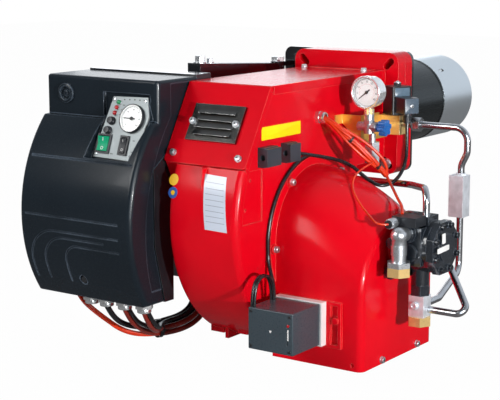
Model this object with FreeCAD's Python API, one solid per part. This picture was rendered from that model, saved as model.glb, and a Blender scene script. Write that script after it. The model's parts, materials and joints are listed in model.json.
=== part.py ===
import FreeCAD, Part
import math
import os

V = FreeCAD.Vector
os.makedirs("parts", exist_ok=True)

# Driving dimensions, in millimetres, measured from the centre of the boiler face
tube_r = 82.5
tube_wall = 3.0
tube_black_len = 186.0
nose_len = 122.0
nose_r = 83.5
nose_wall = 2.5
slip = 0.1
plate_t = 10.0
flange_t = 26.0
flange_half = 114.0
flange_corner = 20.0
stud_offset = 93.0
stud_hole_r = 6.5
slot_len = 13.0
hinge_x = -163.0
hinge_y = -50.0
hinge_pin_r = 7.0
arm_width = 28.0
arm_top_front = 100.0
arm_top_rear = 84.0
arm_end_y = -322.0

duct_left = -78.0
duct_right = 86.0
duct_top = 80.0
duct_bottom = -85.0
duct_front_top_y = -441.0
duct_front_low_y = -514.0
duct_front_low_z = -46.0
wall = 6.0
sheet = 2.0
lip_drop = 13.0
tray_h = 5.0
scroll_left = -55.0
scroll_y = -300.0
scroll_z = -145.0
scroll_r = 238.0
scroll_rear_y = -150.0
fan_y = -312.0
fan_z = -185.0
eye_r = 84.0

intake_x0 = 90.0
intake_x1 = 262.0
intake_r = 121.0
intake_bottom = -380.0
intake_wall = 5.0
collar_margin = 16.0
collar_t = 6.0
flap_x = 150.0
flap_z = -304.0
flap_half = 50.0
flap_t = 3.0

motor_r = 72.0
motor_len = 225.0
impeller_r = 135.0
impeller_len = 84.0
shaft_r = 9.0

pump_z = -180.0
pump_r = 47.0
pump_x1 = 334.0
pump_cover_t = 13.0
pump_bolt_r = 39.0

box_x0 = -330.0
box_x1 = -80.0
box_top = 88.0
emboss = 1.5
box_bottom = -293.0
cover_upper_y = -531.0
cover_bow_y = -608.0
cover_low_y = -566.0
cover_rear_y = -422.0
cover_side_y = -495.0
panel_slope = 0.36

servo_x0 = 106.0
servo_x1 = 193.0
servo_z0 = -339.0
servo_z1 = -269.0
servo_base_depth = 20.0
servo_depth = 81.0

valve_x = 148.0
gauge_y = -237.0
gauge_z = 58.0
gauge_r = 29.0
cross_y = -225.0
cross_z = -3.0
cross_r = 8.0
bracket_x = 127.0
seat_gap = 0.3

port_x = 305.0
port_y = -318.0
suction_x = 299.0
suction_y = -382.0
union_nut_h = 15.0
manifold_x = 280.0
manifold_z0 = -164.0
manifold_z1 = -90.0
side_gland_y = -296.0

fuel_tube_d = 12.0
cable_d = 6.5

flange_y0 = -plate_t - flange_t
front_y0 = flange_y0 - flange_t
intake_front = fan_y - intake_r
collar_r = intake_r + collar_margin
servo_back = intake_front - servo_base_depth
servo_front = servo_back - servo_depth
block_z0 = pump_z - 121.0
block_z1 = pump_z - 84.0
suction_z = pump_z + 26.0
suction_nut_z = suction_z - 52.0
X, Y, Z = V(1, 0, 0), V(0, 1, 0), V(0, 0, 1)


def box(x0, x1, y0, y1, z0, z1):
    return Part.makeBox(x1 - x0, y1 - y0, z1 - z0, V(x0, y0, z0))


def cyl(p, d, r, h):
    return Part.makeCylinder(r, h, p, d)


def ring(p, d, r_out, r_in, h):
    return cyl(p, d, r_out, h).cut(cyl(p - d, d, r_in, h + 2))


def fuse(shapes):
    out = shapes[0]
    if len(shapes) > 1:
        out = out.multiFuse(shapes[1:])
    return out.removeSplitter()


def prism(points, vec):
    """Straight extrusion of the closed polygon through the points."""
    return Part.Face(Part.makePolygon(points + [points[0]])).extrude(vec)


def hexagon(p, d, flats, h, turn=0.0):
    """Hexagonal bar starting at p along d, measured across its flats."""
    u = Z.cross(d) if abs(d.z) < 0.9 else X
    u = u.normalize()
    w = d.cross(u)
    r = flats / math.sqrt(3)
    pts = []
    for k in range(6):
        a = math.radians(60 * k + turn)
        pts.append(p + u * (r * math.cos(a)) + w * (r * math.sin(a)))
    return prism(pts, d * h)


def turned(p, d, profile):
    """Body of revolution about the line p, d from (distance along, radius) pairs."""
    u = Z.cross(d) if abs(d.z) < 0.9 else X
    u = u.normalize()
    pts = [p + d * a + u * r for a, r in profile]
    return Part.Face(Part.makePolygon(pts + [pts[0]])).revolve(p, d, 360)


def pyramid(a, b, c, d):
    """Solid with four corners."""
    corners = ((a, b, c), (a, b, d), (b, c, d), (c, a, d))
    faces = [Part.Face(Part.makePolygon([p, q, r, p])) for p, q, r in corners]
    return Part.makeSolid(Part.makeShell(faces))


def rounded_plate(x0, x1, z0, z1, y0, y1, r):
    """Upright plate with rounded corners, thick along Y."""
    plate = box(x0, x1, y0, y1, z0, z1)
    edges = []
    for e in plate.Edges:
        a, b = e.Vertexes[0].Point, e.Vertexes[-1].Point
        if abs(abs(a.y - b.y) - (y1 - y0)) < 1e-6:
            edges.append(e)
    return plate.makeFillet(r, edges)


def fillet_where(shape, r, test):
    """Rounds the edges whose centre passes the test; keeps the sharp shape if it cannot be rounded."""
    edges = [e for e in shape.Edges if test(e.CenterOfMass, e)]
    for radius in (r, r * 0.7, r * 0.4):
        try:
            out = shape.makeFillet(radius, edges)
            if out.isValid() and out.Volume > 0:
                return out
        except Part.OCCError:
            pass
    return shape


def bent_path(points, radius=None):
    """Straight runs joined by tangent arcs; returns the wire and the radii used."""
    pts = [V(*p) for p in points]
    edges, radii = [], []
    start = pts[0]
    for k in range(1, len(pts) - 1):
        a, b = pts[k] - pts[k - 1], pts[k + 1] - pts[k]
        half = a.getAngle(b) / 2
        r = radius or 0.45 * min(a.Length, b.Length) / math.tan(half)
        cut = r * math.tan(half)
        u, w = V(a).normalize(), V(b).normalize()
        p, q = pts[k] - u * cut, pts[k] + w * cut
        side = (w - u).normalize()
        middle = pts[k] + side * (r / math.cos(half) - r)
        edges.append(Part.LineSegment(start, p).toShape())
        edges.append(Part.Arc(p, middle, q).toShape())
        radii.append(round(r, 1))
        start = q
    edges.append(Part.LineSegment(start, pts[-1]).toShape())
    return Part.Wire(edges), radii


def rod_along(name, points, dia, radius=None):
    """Round bar of the given diameter along the path."""
    wire, radii = bent_path(points, radius)
    first = V(*points[1]) - V(*points[0])
    section = Part.Face(Part.Wire(Part.Circle(V(*points[0]), first, dia / 2).toShape()))
    solid = wire.makePipe(section)
    ratio = solid.Volume / (math.pi * dia * dia / 4 * wire.Length)
    print(name, "length", round(wire.Length), "radii", radii, "volume ratio", round(ratio, 3))
    return solid


def hex_screw(p, d):
    """Washer and hexagon head seated at p, facing along d."""
    return fuse([cyl(p, d, 6.0, 1.6), hexagon(p + d * 1.6, d, 10, 4)])


def save(name, shape):
    shape.exportStep("parts/" + name + ".step")


def stud_points():
    return [(sx * stud_offset, sz * stud_offset) for sx in (-1, 1) for sz in (-1, 1)]


# Boiler side: hinge plate, rear flange, blast tube and what stays inside it
def flange(y0, y1, bore, slotted):
    plate = rounded_plate(-flange_half, flange_half, -flange_half, flange_half, y0, y1, flange_corner)
    plate = plate.cut(cyl(V(0, y0 - 1, 0), Y, bore, y1 - y0 + 2))
    for sx, sz in stud_points():
        hole = cyl(V(sx, y0 - 1, sz), Y, stud_hole_r, y1 - y0 + 2)
        if slotted:
            out = V(sx, 0, sz).normalize()
            for s in (-0.5, 0.5):
                at = V(sx, y0 - 1, sz) + out * (s * slot_len)
                hole = hole.fuse(cyl(at, Y, stud_hole_r, y1 - y0 + 2))
            side = out.cross(Y) * stud_hole_r
            a = V(sx, y0 - 1, sz) - out * (slot_len / 2)
            b = V(sx, y0 - 1, sz) + out * (slot_len / 2)
            hole = hole.fuse(prism([a - side, b - side, b + side, a + side], Y * (y1 - y0 + 2)))
        plate = plate.cut(hole)
    return plate


hinge_plate = rounded_plate(hinge_x - 9, flange_half - 2, -flange_half, flange_half - 1, -plate_t, 0, 16)
hinge_plate = hinge_plate.cut(cyl(V(0, -plate_t - 1, 0), Y, tube_r, plate_t + 2))
for sx, sz in stud_points():
    hinge_plate = hinge_plate.cut(cyl(V(sx, -plate_t - 1, sz), Y, stud_hole_r, plate_t + 2))
lug_z = [arm_top_rear - 44, arm_top_rear - 7]
for z in lug_z:
    lug = box(hinge_x - 14, hinge_x + 14, hinge_y, -plate_t, z, z + 9)
    lug = lug.fuse(cyl(V(hinge_x, hinge_y, z), Z, 14, 9))
    lug = lug.cut(cyl(V(hinge_x, hinge_y, z - 1), Z, hinge_pin_r, 11))
    hinge_plate = hinge_plate.fuse(lug)
save("hinge_plate", hinge_plate.removeSplitter())

save("rear_flange", flange(flange_y0, -plate_t, tube_r, False))

tube = ring(V(0, flange_y0 + 4, 0), Y, tube_r, tube_r - tube_wall, tube_black_len - flange_y0 - 4)
bead = ring(V(0, tube_black_len - 5, 0), Y, nose_r - slip, tube_r - 0.5, 5)
save("blast_tube", fuse([tube, bead]))

nose_y1 = tube_black_len + nose_len
nose = ring(V(0, tube_black_len, 0), Y, nose_r, nose_r - nose_wall, nose_len)
roll = ring(V(0, nose_y1 - 4, 0), Y, nose_r, nose_r - 14, 4)
save("tube_nose", fuse([nose, roll]))

disc_y = nose_y1 - 32
disc = ring(V(0, disc_y, 0), Y, 60, 17, 3)
slits = []
for k in range(8):
    a = math.radians(45 * k)
    slit = box(24, 54, disc_y - 1, disc_y + 4, -1.6, 1.6)
    slits.append(slit.rotate(V(0, 0, 0), Y, math.degrees(a)))
disc = disc.cut(slits[0].multiFuse(slits[1:]))
spokes = []
for k in range(3):
    spoke = box(58, nose_r - nose_wall - slip, disc_y - 8, disc_y + 3, -2, 2)
    spokes.append(spoke.rotate(V(0, 0, 0), Y, 120 * k + 30))
save("diffuser_disc", fuse([disc] + spokes))

line_y = flange_y0 + 8
holder = cyl(V(0, line_y, 0), Y, 11, disc_y - 24 - line_y)
head = box(-24, 24, disc_y - 40, disc_y - 14, -12, 12)
nozzles = [hexagon(V(s * 13, disc_y - 14, 0), Y, 14, 11) for s in (-1, 1)]
tips = [cyl(V(s * 13, disc_y - 3, 0), Y, 3.2, 3) for s in (-1, 1)]
struts = []
for k in range(3):
    strut = box(8, tube_r - tube_wall - slip, 60, 66, -3, 3)
    struts.append(strut.rotate(V(0, 0, 0), Y, 120 * k + 90))
electrodes = []
for s in (-1, 1):
    electrodes.append(cyl(V(s * 9, disc_y - 110, 18.5), Y, 7.5, 82))
    electrodes.append(cyl(V(s * 9, disc_y - 30, 18.5), Y, 1.6, 22))
save("nozzle_holder", fuse([holder, head] + nozzles + tips + struts + electrodes))

pin = cyl(V(hinge_x, hinge_y, lug_z[0] - 5), Z, hinge_pin_r, lug_z[1] - lug_z[0] + 16)
head = hexagon(V(hinge_x, hinge_y, lug_z[1] + 9), Z, 24, 9)
nut = hexagon(V(hinge_x, hinge_y, lug_z[0] - 11), Z, 19, 11)
save("hinge_pin", fuse([pin, head, nut]))


# Fan casing: duct and scroll cast in one, hollow, with the swing flange at its rear
def duct_outline(x, inset):
    k = inset
    slope = (duct_front_low_y - duct_front_top_y) / (duct_top - duct_front_low_z)
    front = k * math.sqrt(1 + slope * slope)
    top = duct_top + (2 if inset else 0)
    y_top = duct_front_top_y - slope * (duct_top - top) + front
    return [
        V(x, y_top, top),
        V(x, front_y0 + (10 if inset else 0), top),
        V(x, front_y0 + (10 if inset else 0), duct_bottom + k),
        V(x, scroll_rear_y - 20, duct_bottom + k),
        V(x, duct_front_low_y + front + 20, duct_bottom + k),
        V(x, duct_front_low_y + front, duct_front_low_z),
    ]


def scroll_face(x, inset):
    """Side outline of the scroll: a wide front arc, then a tighter arc up to the tongue."""
    r = scroll_r - inset
    top_z = duct_front_low_z - 4
    front = scroll_y - math.sqrt(r * r - (top_z - scroll_z) ** 2)
    bottom = V(x, scroll_y, scroll_z - r)
    rear_r = scroll_rear_y - inset - scroll_y
    rear = V(x, scroll_y + rear_r, scroll_z - r + rear_r)
    mid_front = V(x, scroll_y - r * math.cos(0.6), scroll_z - r * math.sin(0.6))
    mid_rear = V(x, scroll_y + rear_r * math.sin(0.8), scroll_z - r + rear_r * (1 - math.cos(0.8)))
    corner = V(x, scroll_y + rear_r, top_z)
    start = V(x, front, top_z)
    edges = [
        Part.Arc(start, mid_front, bottom).toShape(),
        Part.Arc(bottom, mid_rear, rear).toShape(),
        Part.LineSegment(rear, corner).toShape(),
        Part.LineSegment(corner, start).toShape(),
    ]
    return Part.Face(Part.Wire(edges))


duct = prism(duct_outline(duct_left, 0), X * (duct_right - duct_left))
scroll = scroll_face(scroll_left, 0).extrude(X * (duct_right - scroll_left))


def front_rim(c, x):
    return c.y < scroll_y - 40 and c.z < -90 and abs(c.x - x) < 1


scroll = fillet_where(scroll, 13, lambda c, e: front_rim(c, duct_right))
scroll = fillet_where(scroll, 8, lambda c, e: front_rim(c, scroll_left))
casing = fuse([duct, scroll])
hollow_duct = prism(duct_outline(duct_left + wall, wall), X * (duct_right - duct_left - 2 * wall))
hollow_scroll = scroll_face(scroll_left + wall, wall).extrude(X * (duct_right - scroll_left - 2 * wall))
casing = casing.cut(hollow_duct).cut(hollow_scroll)
casing = casing.cut(cyl(V(duct_right - wall - 1, fan_y, fan_z), X, eye_r, wall + 2))
casing = casing.cut(cyl(V(scroll_left - 1, fan_y, fan_z), X, 34, wall + 2))
casing = casing.cut(cyl(V(0, front_y0 - 30, 0), Y, tube_r - 8, 60))
swing = flange(front_y0, flange_y0, tube_r - 8, True)
feet = []
for x0, x1, y0, z0 in ((-54, -26, -420, -360), (-20, -13, -424, -367), (4, 24, -420, -356)):
    foot = box(x0, x1, y0, y0 + 46, z0, -320)
    feet.append(foot.cut(cyl(V(x0 - 1, scroll_y, scroll_z), X, scroll_r - 2, x1 - x0 + 2)))
rib = pyramid(V(-6, -505, -46), V(16, -505, -46), V(6, -532, -126), V(12, -531, -52))
casing = fuse([casing, swing, rib] + feet)
sunk = cyl(V(duct_right - 2, scroll_y, scroll_z), X, scroll_r - 17, 3)
sunk = sunk.common(box(duct_right - 3, duct_right + 2, scroll_y - scroll_r, -465, -140, -53))
casing = casing.cut(sunk)
for y, z in ((-497, -68), (-511, -116)):
    casing = casing.cut(cyl(V(duct_right - 4.5, y, z), X, 2.5, 5))
save("fan_housing", casing)

top_x0, top_x1, top_z = duct_left - sheet, duct_right + sheet, duct_top + sheet
cover = box(top_x0, top_x1, duct_front_top_y, front_y0 - 6, duct_top, top_z)
lips = []
for x in (duct_left - sheet, duct_right):
    lips.append(box(x, x + sheet, duct_front_top_y + 8, front_y0 - 12, duct_top - lip_drop, duct_top))
rise = box(duct_left + 14, duct_right - 14, front_y0 - 32, front_y0 - 12, top_z, top_z + 1.5)
save("top_cover", fuse([cover, rise] + lips))

# Inclined front plate: u runs along X, v runs down the slope
slope_dy = duct_front_low_y - duct_front_top_y
slope_dz = duct_front_low_z - duct_top
slope_len = math.hypot(slope_dy, slope_dz)
down = V(0, slope_dy / slope_len, slope_dz / slope_len)
outward = V(0, slope_dz / slope_len, -slope_dy / slope_len)


def on_slope(x, v, lift):
    return V(x, duct_front_top_y, duct_top) + down * v + outward * lift


def slope_block(x0, x1, v0, v1, h0, h1):
    pts = [on_slope(x0, v0, h0), on_slope(x1, v0, h0), on_slope(x1, v1, h0), on_slope(x0, v1, h0)]
    return prism(pts, outward * (h1 - h0))


grille_x0, grille_x1, grille_v0, grille_v1 = -47.0, 56.0, 41.0, 107.0
front_cover = slope_block(duct_left - sheet, duct_right + sheet, 0, slope_len + 3, 0, sheet + 0.5)
opening = slope_block(grille_x0 + 10, grille_x1 - 10, grille_v0 + 8, grille_v1 - 8, -1, 4)
front_cover = front_cover.cut(opening)
lips = [slope_block(x, x + sheet, 6, slope_len, -9, 0.5) for x in (duct_left - sheet, duct_right)]
front_cover = fillet_where(front_cover, 8, lambda c, e: e.Length < sheet + 1 and c.z < duct_front_low_z + 4)
save("front_cover", fuse([front_cover] + lips))

grille_lift = sheet + 0.5
tray_top = grille_lift + tray_h
grille = slope_block(grille_x0, grille_x1, grille_v0, grille_v1, grille_lift, tray_top)
under = slope_block(grille_x0 + 1.5, grille_x1 - 1.5, grille_v0 + 1.5, grille_v1 - 1.5, 0, tray_top - 1.5)
grille = grille.cut(under)
louvres = []
pitch = (grille_v1 - grille_v0 - 14) / 4
for k in range(4):
    v0 = grille_v0 + 7 + pitch * k
    grille = grille.cut(slope_block(grille_x0 + 15, grille_x1 - 15, v0 + 4.5, v0 + 10.5, 0, tray_top + 3))
    a = on_slope(grille_x0 + 14, v0 + 1, tray_top - 0.1)
    hood = [a, a + down * 10 + outward * 4.6, a + down * 11 + outward * 3.6, a + down * 1.6]
    louvres.append(prism(hood, X * (grille_x1 - grille_x0 - 28)))
    for x in (grille_x0 + 14, grille_x1 - 15):
        b = on_slope(x, v0 + 1, tray_top - 0.3)
        louvres.append(prism([b, b + down * 10.5 + outward * 4.2, b + down * 10.5], X))
save("louvre_grille", fuse([grille] + louvres))

screws = []
for x, v in ((-64, slope_len - 14), (70, slope_len - 14)):
    screws.append(hex_screw(on_slope(x, v, sheet + 0.5), outward))
for x in (grille_x0 + 6, grille_x1 - 8):
    screws.append(hex_screw(on_slope(x, (grille_v0 + grille_v1) / 2, tray_top), outward))
for x, y in ((-66, -104), (68, -110)):
    screws.append(hex_screw(V(x, y, duct_top + sheet), Z))

# Hinge arm with its foot on the duct wall
seat_z = arm_top_front - 1.5
arm_x0 = hinge_x - arm_width / 2
knuckle_top = lug_z[1] - 0.5
side = [
    V(arm_x0, arm_end_y, arm_top_front),
    V(arm_x0, hinge_y - 16, arm_top_rear),
    V(arm_x0, hinge_y - 16, arm_top_rear - 32),
    V(arm_x0, arm_end_y, arm_top_front - 40),
]
arm = prism(side, X * arm_width)
knuckle = cyl(V(hinge_x, hinge_y, lug_z[0] + 9.5), Z, 13.5, knuckle_top - lug_z[0] - 9.5)
neck = box(hinge_x - 10, hinge_x + 10, hinge_y - 24, hinge_y, arm_top_rear - 30, knuckle_top)
foot = box(arm_x0, duct_left, arm_end_y, arm_end_y + 60, 20, 60)
pad = box(duct_left - 10, duct_left, arm_end_y - 14, arm_end_y + 74, 12, 64)
arm = fuse([arm, knuckle, neck, foot, pad])
arm = arm.cut(cyl(V(hinge_x, hinge_y, 0), Z, hinge_pin_r + 0.05, 120))
for y in (arm_end_y + 16, arm_end_y + 40):
    arm = arm.cut(cyl(V(hinge_x + 3, y, seat_z), Z, 13, 20))
save("hinge_arm", arm)



def standing_bolt(p, washer_r, washer_t, flats, head_h):
    return fuse([cyl(p, Z, washer_r, washer_t), hexagon(p + Z * washer_t, Z, flats, head_h)])


bolt = standing_bolt(V(hinge_x + 2, arm_end_y + 16, seat_z), 12, 3, 17, 11)
small = standing_bolt(V(hinge_x + 6, arm_end_y + 40, seat_z), 8, 2, 10, 6)
stud = cyl(V(stud_offset - 1, flange_y0, -stud_offset), -Y, 5, flange_t + 14)
clamp = ring(V(stud_offset - 1, front_y0, -stud_offset), -Y, 9.8, 4.8, 2.5)
nut = hexagon(V(stud_offset - 1, front_y0 - 2.4, -stud_offset), -Y, 16, 9)
save("arm_bolts", Part.makeCompound([bolt, small, fuse([stud, clamp, nut])]))

# Motor behind the control box
mx1 = scroll_left
body = cyl(V(mx1 - 12 - motor_len, fan_y, fan_z), X, motor_r, motor_len)
face = cyl(V(mx1 - 12, fan_y, fan_z), X, motor_r + 12, 12)
fins = []
for k in range(14):
    fin = box(mx1 - 190, mx1 - 30, -1.5, 1.5, motor_r - 2, motor_r + 6)
    fin.rotate(V(0, 0, 0), X, 360 / 14 * k + 8)
    fin.translate(V(0, fan_y, fan_z))
    fins.append(fin)
cowl = ring(V(mx1 - 12 - motor_len - 6, fan_y, fan_z), X, motor_r + 4, motor_r - 1, 44)
terminal_z = fan_z - motor_r - 34
terminal = box(mx1 - 160, mx1 - 50, fan_y - 45, fan_y + 45, terminal_z, fan_z - motor_r + 14)
motor = fuse([body, face, cowl, terminal] + fins)
motor = motor.cut(cyl(V(mx1 - 60, fan_y, fan_z), X, 30, 70))
save("motor", motor)

# Fan wheel, shaft and pump coupling turn together
wheel_x0 = scroll_left + wall + 14
back = ring(V(wheel_x0, fan_y, fan_z), X, impeller_r, shaft_r, 3)
front_ring = ring(V(wheel_x0 + impeller_len - 3, fan_y, fan_z), X, impeller_r, impeller_r - 30, 3)
hub = ring(V(wheel_x0, fan_y, fan_z), X, 24, shaft_r, 34)
blades = []
for k in range(24):
    blade = box(wheel_x0 + 2, wheel_x0 + impeller_len - 2, impeller_r - 30, impeller_r - 2, -1, 1)
    blade.rotate(V(0, impeller_r - 2, 0), X, 28)
    blade.rotate(V(0, 0, 0), X, 15 * k)
    blade.translate(V(0, fan_y, fan_z))
    blades.append(blade)
rim = cyl(V(wheel_x0 - 1, fan_y, fan_z), X, impeller_r, 120)
wheel = back.multiFuse([front_ring, hub] + blades).common(rim)
shaft = cyl(V(mx1 - 50, fan_y, fan_z), X, shaft_r, wheel_x0 + 36 + 50 - mx1)
coupling = cyl(V(wheel_x0 + 34, fan_y, fan_z), X, 14, intake_x1 - 12 - wheel_x0 - 34)
spigot = cyl(V(intake_x1 - 14, fan_y, fan_z), X, 5.5, 17.5)
save("fan_rotor", fuse([wheel.removeSplitter(), shaft, coupling, spigot]))


# Intake housing: an arch whose crown falls away towards the pump side
def arch(x, crown, inset, floor):
    r = intake_r - inset
    zc = crown - inset - r
    a, b = V(x, fan_y - r, floor), V(x, fan_y - r, zc)
    c, d = V(x, fan_y + r, zc), V(x, fan_y + r, floor)
    edges = [
        Part.LineSegment(a, b).toShape(),
        Part.Arc(b, V(x, fan_y, zc + r), c).toShape(),
        Part.LineSegment(c, d).toShape(),
        Part.LineSegment(d, a).toShape(),
    ]
    return Part.Wire(edges)


def crown_at(x):
    t = (x - intake_x0) / (intake_x1 - intake_x0)
    return fan_z + intake_r + 1 - 12 * t - 66 * t * t


def shell(x0, x1, inset, floor):
    xs = [x0 + (x1 - x0) * k / 4 for k in range(5)]
    return Part.makeLoft([arch(x, crown_at(x), inset, floor) for x in xs], True, False)


ear_angles = (128, 183, 52)
ear_r = 8.5


def ear_at(angle):
    """Centre of a collar ear on the casing face."""
    a = math.radians(angle)
    r = collar_r - ear_r - 0.5
    return V(duct_right, fan_y + r * math.cos(a), fan_z + r * math.sin(a))


outer = shell(duct_right, intake_x1, 0, intake_bottom)
outer = fillet_where(outer, 12, lambda c, e: abs(c.x - intake_x1) < 1 and c.z > intake_bottom + 2)
inner = shell(duct_right - 2, intake_x1 - intake_wall, intake_wall, intake_bottom - 2)
collar = cyl(V(duct_right, fan_y, fan_z), X, collar_r, collar_t)
ears = [cyl(ear_at(a), X, ear_r, collar_t + 4) for a in ear_angles]
pump_pad = cyl(V(intake_x1 - 1, fan_y, fan_z), X, 40, 5)
pad = box(servo_x0 - 6, 224, intake_front - 5, intake_front + 2, servo_z0 - 6, servo_z1 + 2)
pad = pad.cut(box(204, 218, intake_front - 6, intake_front, servo_z0, servo_z1 - 4))
boss = cyl(V(214, intake_front + 1, flap_z + 6), -Y, 6, 9)
intake = fuse([outer, collar, pump_pad, pad, boss] + ears)
intake = intake.cut(cyl(V(244, intake_front - 1, intake_bottom + 10), Y, 3.5, 4))
intake = intake.cut(inner)
collar_x1 = duct_right + collar_t
plate_front = box(duct_right, collar_x1, fan_y - intake_r, fan_y + intake_r, intake_bottom, fan_z)
bell = cyl(V(duct_right, fan_y, fan_z), X, collar_r, collar_t)
left_wall = fuse([plate_front, bell]).cut(cyl(V(duct_right - 1, fan_y, fan_z), X, eye_r, collar_t + 2))
intake = fuse([intake, left_wall])
intake = intake.cut(cyl(V(duct_right - 1, fan_y, fan_z), X, eye_r, collar_t + 2))
intake = intake.cut(cyl(V(intake_x1 - 12, fan_y, fan_z), X, 20, 24))
for y0 in (intake_front - 20, fan_y + intake_r - 8):
    intake = intake.cut(cyl(V(flap_x, y0, flap_z), Y, 6.3, 28))
save("intake_housing", intake)

for a in ear_angles:
    screws.append(hex_screw(ear_at(a) + X * (collar_t + 4), X))
for y in (-369, -248):
    screws.append(hex_screw(V(intake_x1, y, intake_bottom + 8), X))
save("housing_screws", Part.makeCompound(screws))

# Air damper and its servomotor
flap_reach = intake_r - intake_wall - 8
flap = box(-flap_half, flap_half, -flap_reach, flap_reach, -flap_t / 2, flap_t / 2)
flap.translate(V(flap_x, fan_y, flap_z))
spindle = cyl(V(flap_x, servo_back + 4, flap_z), Y, 6, fan_y + intake_r + 4 - servo_back - 4)
stiff = cyl(V(flap_x, fan_y - flap_reach, flap_z), Y, 8, 2 * flap_reach)
save("damper_flap", fuse([flap, spindle, stiff]))

base = box(servo_x0 - 2, servo_x1 + 3, servo_back, intake_front - 5, servo_z0 - 2, servo_z1 + 2)
base = base.cut(cyl(V(flap_x, servo_back - 1, flap_z), Y, 6.3, 40))
save("servo_base", base)
case = box(servo_x0, servo_x1, servo_front, servo_back, servo_z0, servo_z1)
case = fillet_where(case, 2, lambda c, e: c.y < servo_back - 1)
window = box(181, 184.5, servo_front - 1, servo_front + 1.5, servo_z0 + 16, servo_z0 + 38)
save("servo_cover", case.cut(window))

# Pump on the fan axis
return_dir = V(0, 41, -16.5).normalize()
foot_ring = cyl(V(intake_x1 + 4, fan_y, pump_z), X, 40, 12)
lobe_y = fan_y - 56
pump = fuse([
    foot_ring,
    cyl(V(intake_x1 + 15, fan_y, pump_z), X, pump_r - 3, pump_x1 - intake_x1 - 15),
    cyl(V(intake_x1 + 12, fan_y, pump_z), X, pump_r + 7, 16),
    cyl(V(intake_x1 + 14, lobe_y, pump_z + 8), Y, 9.5, 22),
    cyl(V(intake_x1 + 13, lobe_y, pump_z - 42), Y, 11, 30),
    box(285, 325, fan_y - 44, fan_y + 30, pump_z - 28, pump_z + 36),
    cyl(V(305, fan_y - 30, pump_z - 7), -Y, 14, 18),
    cyl(V(port_x, fan_y, pump_z), return_dir, 9, pump_r + 3),
    cyl(V(port_x, port_y, pump_z - 68), Z, 15, 60),
    cyl(V(suction_x, fan_y - 20, suction_z), -Y, 16, 32),
    box(288, 326, fan_y - 22, fan_y + 14, pump_z + 30, pump_z + 52),
    hexagon(V(port_x, port_y, block_z1), Z, 30, 17),
])
port_bore = cyl(V(port_x, port_y, block_z0 - union_nut_h), Z, 6.5, 80)
save("pump_body", pump.cut(port_bore))

octagon = []
for k in range(8):
    a = math.radians(45 * k + 22.5)
    octagon.append(V(pump_x1, fan_y + pump_r * math.cos(a), pump_z + pump_r * math.sin(a)))
lid = prism(octagon, X * pump_cover_t)
lid = fuse([lid, cyl(V(pump_x1 + pump_cover_t, fan_y, pump_z), X, 24, 4)])
for k in range(8):
    a = math.radians(45 * k + 22.5)
    c = V(pump_x1, fan_y + pump_bolt_r * math.cos(a), pump_z + pump_bolt_r * math.sin(a))
    lid = lid.fuse(cyl(c, X, 7, pump_cover_t + 1)).fuse(cyl(c, X, 4.5, pump_cover_t + 6))
save("pump_cover", lid.removeSplitter())

coil_y, coil_z = fan_y - 40, pump_z + 45.5
solenoid = fuse([
    box(278, 322, coil_y - 18, fan_y - 22, coil_z - 7, coil_z + 9),
    hexagon(V(286, coil_y - 28, coil_z), Y, 14, 12),
    cyl(V(286, coil_y - 44, coil_z), Y, 7, 18),
])
save("pump_solenoid", solenoid.cut(pump))

elbow = cyl(V(suction_x, fan_y - 52, suction_z), -Y, 12, fan_y - 52 - suction_y)
bend = Part.makeSphere(14, V(suction_x, suction_y, suction_z))
drop = cyl(V(suction_x, suction_y, suction_nut_z + 5), Z, 12, suction_z - suction_nut_z - 5)
band = cyl(V(suction_x, suction_y, suction_z - 32), Z, 13.2, 16)
coupling = hexagon(V(suction_x, suction_y, suction_nut_z), Z, 36, 9)
bore = cyl(V(suction_x, suction_y, suction_nut_z - 1), Z, 7.5, 40)
save("suction_elbow", fuse([elbow, bend, drop, band, coupling]).cut(bore))

port_nuts = []
for x, y, z in ((suction_x, suction_y, suction_nut_z), (port_x, port_y, block_z0)):
    nut = hexagon(V(x, y, z - union_nut_h), Z, 36, union_nut_h)
    port_nuts.append(nut.cut(cyl(V(x, y, z - union_nut_h - 1), Z, 10.5, union_nut_h + 2)))
save("port_nuts", Part.makeCompound(port_nuts))

block = box(port_x - 14, port_x + 14, port_y - 13, port_y + 13, block_z0, block_z1)
block = block.fuse(cyl(V(port_x - 3, port_y - 12, block_z0 + 20), -Y, 7, 4))
block = block.cut(port_bore)

# Gauge, cock and fuel valve on their bracket
web_y = cross_y + cross_r + seat_gap
web_pts = [(duct_right + 2, 14), (bracket_x, 14), (bracket_x, -34), (duct_right + 2, -2)]
web = prism([V(x, web_y, z) for x, z in web_pts], Y * 2.5)
main = box(bracket_x - 2.5, bracket_x, web_y, -127, -33, 14).cut(box(120, 130, -153, -120, 9.5, 20))
tab = box(duct_right, duct_right + 2.5, web_y - 23, web_y + 2.5, -2, 14)
save("gauge_bracket", fuse([web, main, tab]))

spindle_r = 1.2
can = turned(V(valve_x, gauge_y + 27, gauge_z), -Y, [(0, 0), (0, 22), (4, 27), (22, 27), (22, 0)])
bezel = ring(V(valve_x, gauge_y + 6, gauge_z), -Y, gauge_r, gauge_r - 3.5, 9)
dial = ring(V(valve_x, gauge_y + 6, gauge_z), -Y, gauge_r - 3, spindle_r + 0.05, 3)
stem_z = gauge_z - 27
stem = fuse([
    cyl(V(valve_x, cross_y, stem_z - 8), Z, 6, 12),
    hexagon(V(valve_x, cross_y, stem_z - 12), Z, 15, 9),
])
save("gauge_case", fuse([can, bezel, dial, stem]))
hand = fuse([
    prism([V(-1.4, 0, -8), V(1.4, 0, -8), V(0.5, 0, 19), V(-0.5, 0, 19)], -Y * 0.8),
    cyl(V(0, 0, 0), -Y, 3, 0.8),
    cyl(V(0, 1.4, 0), -Y, spindle_r, 3.4),
])
hand.rotate(V(0, 0, 0), Y, -128)
hand.translate(V(valve_x, gauge_y + 2.2, gauge_z))
save("gauge_pointer", hand)

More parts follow.
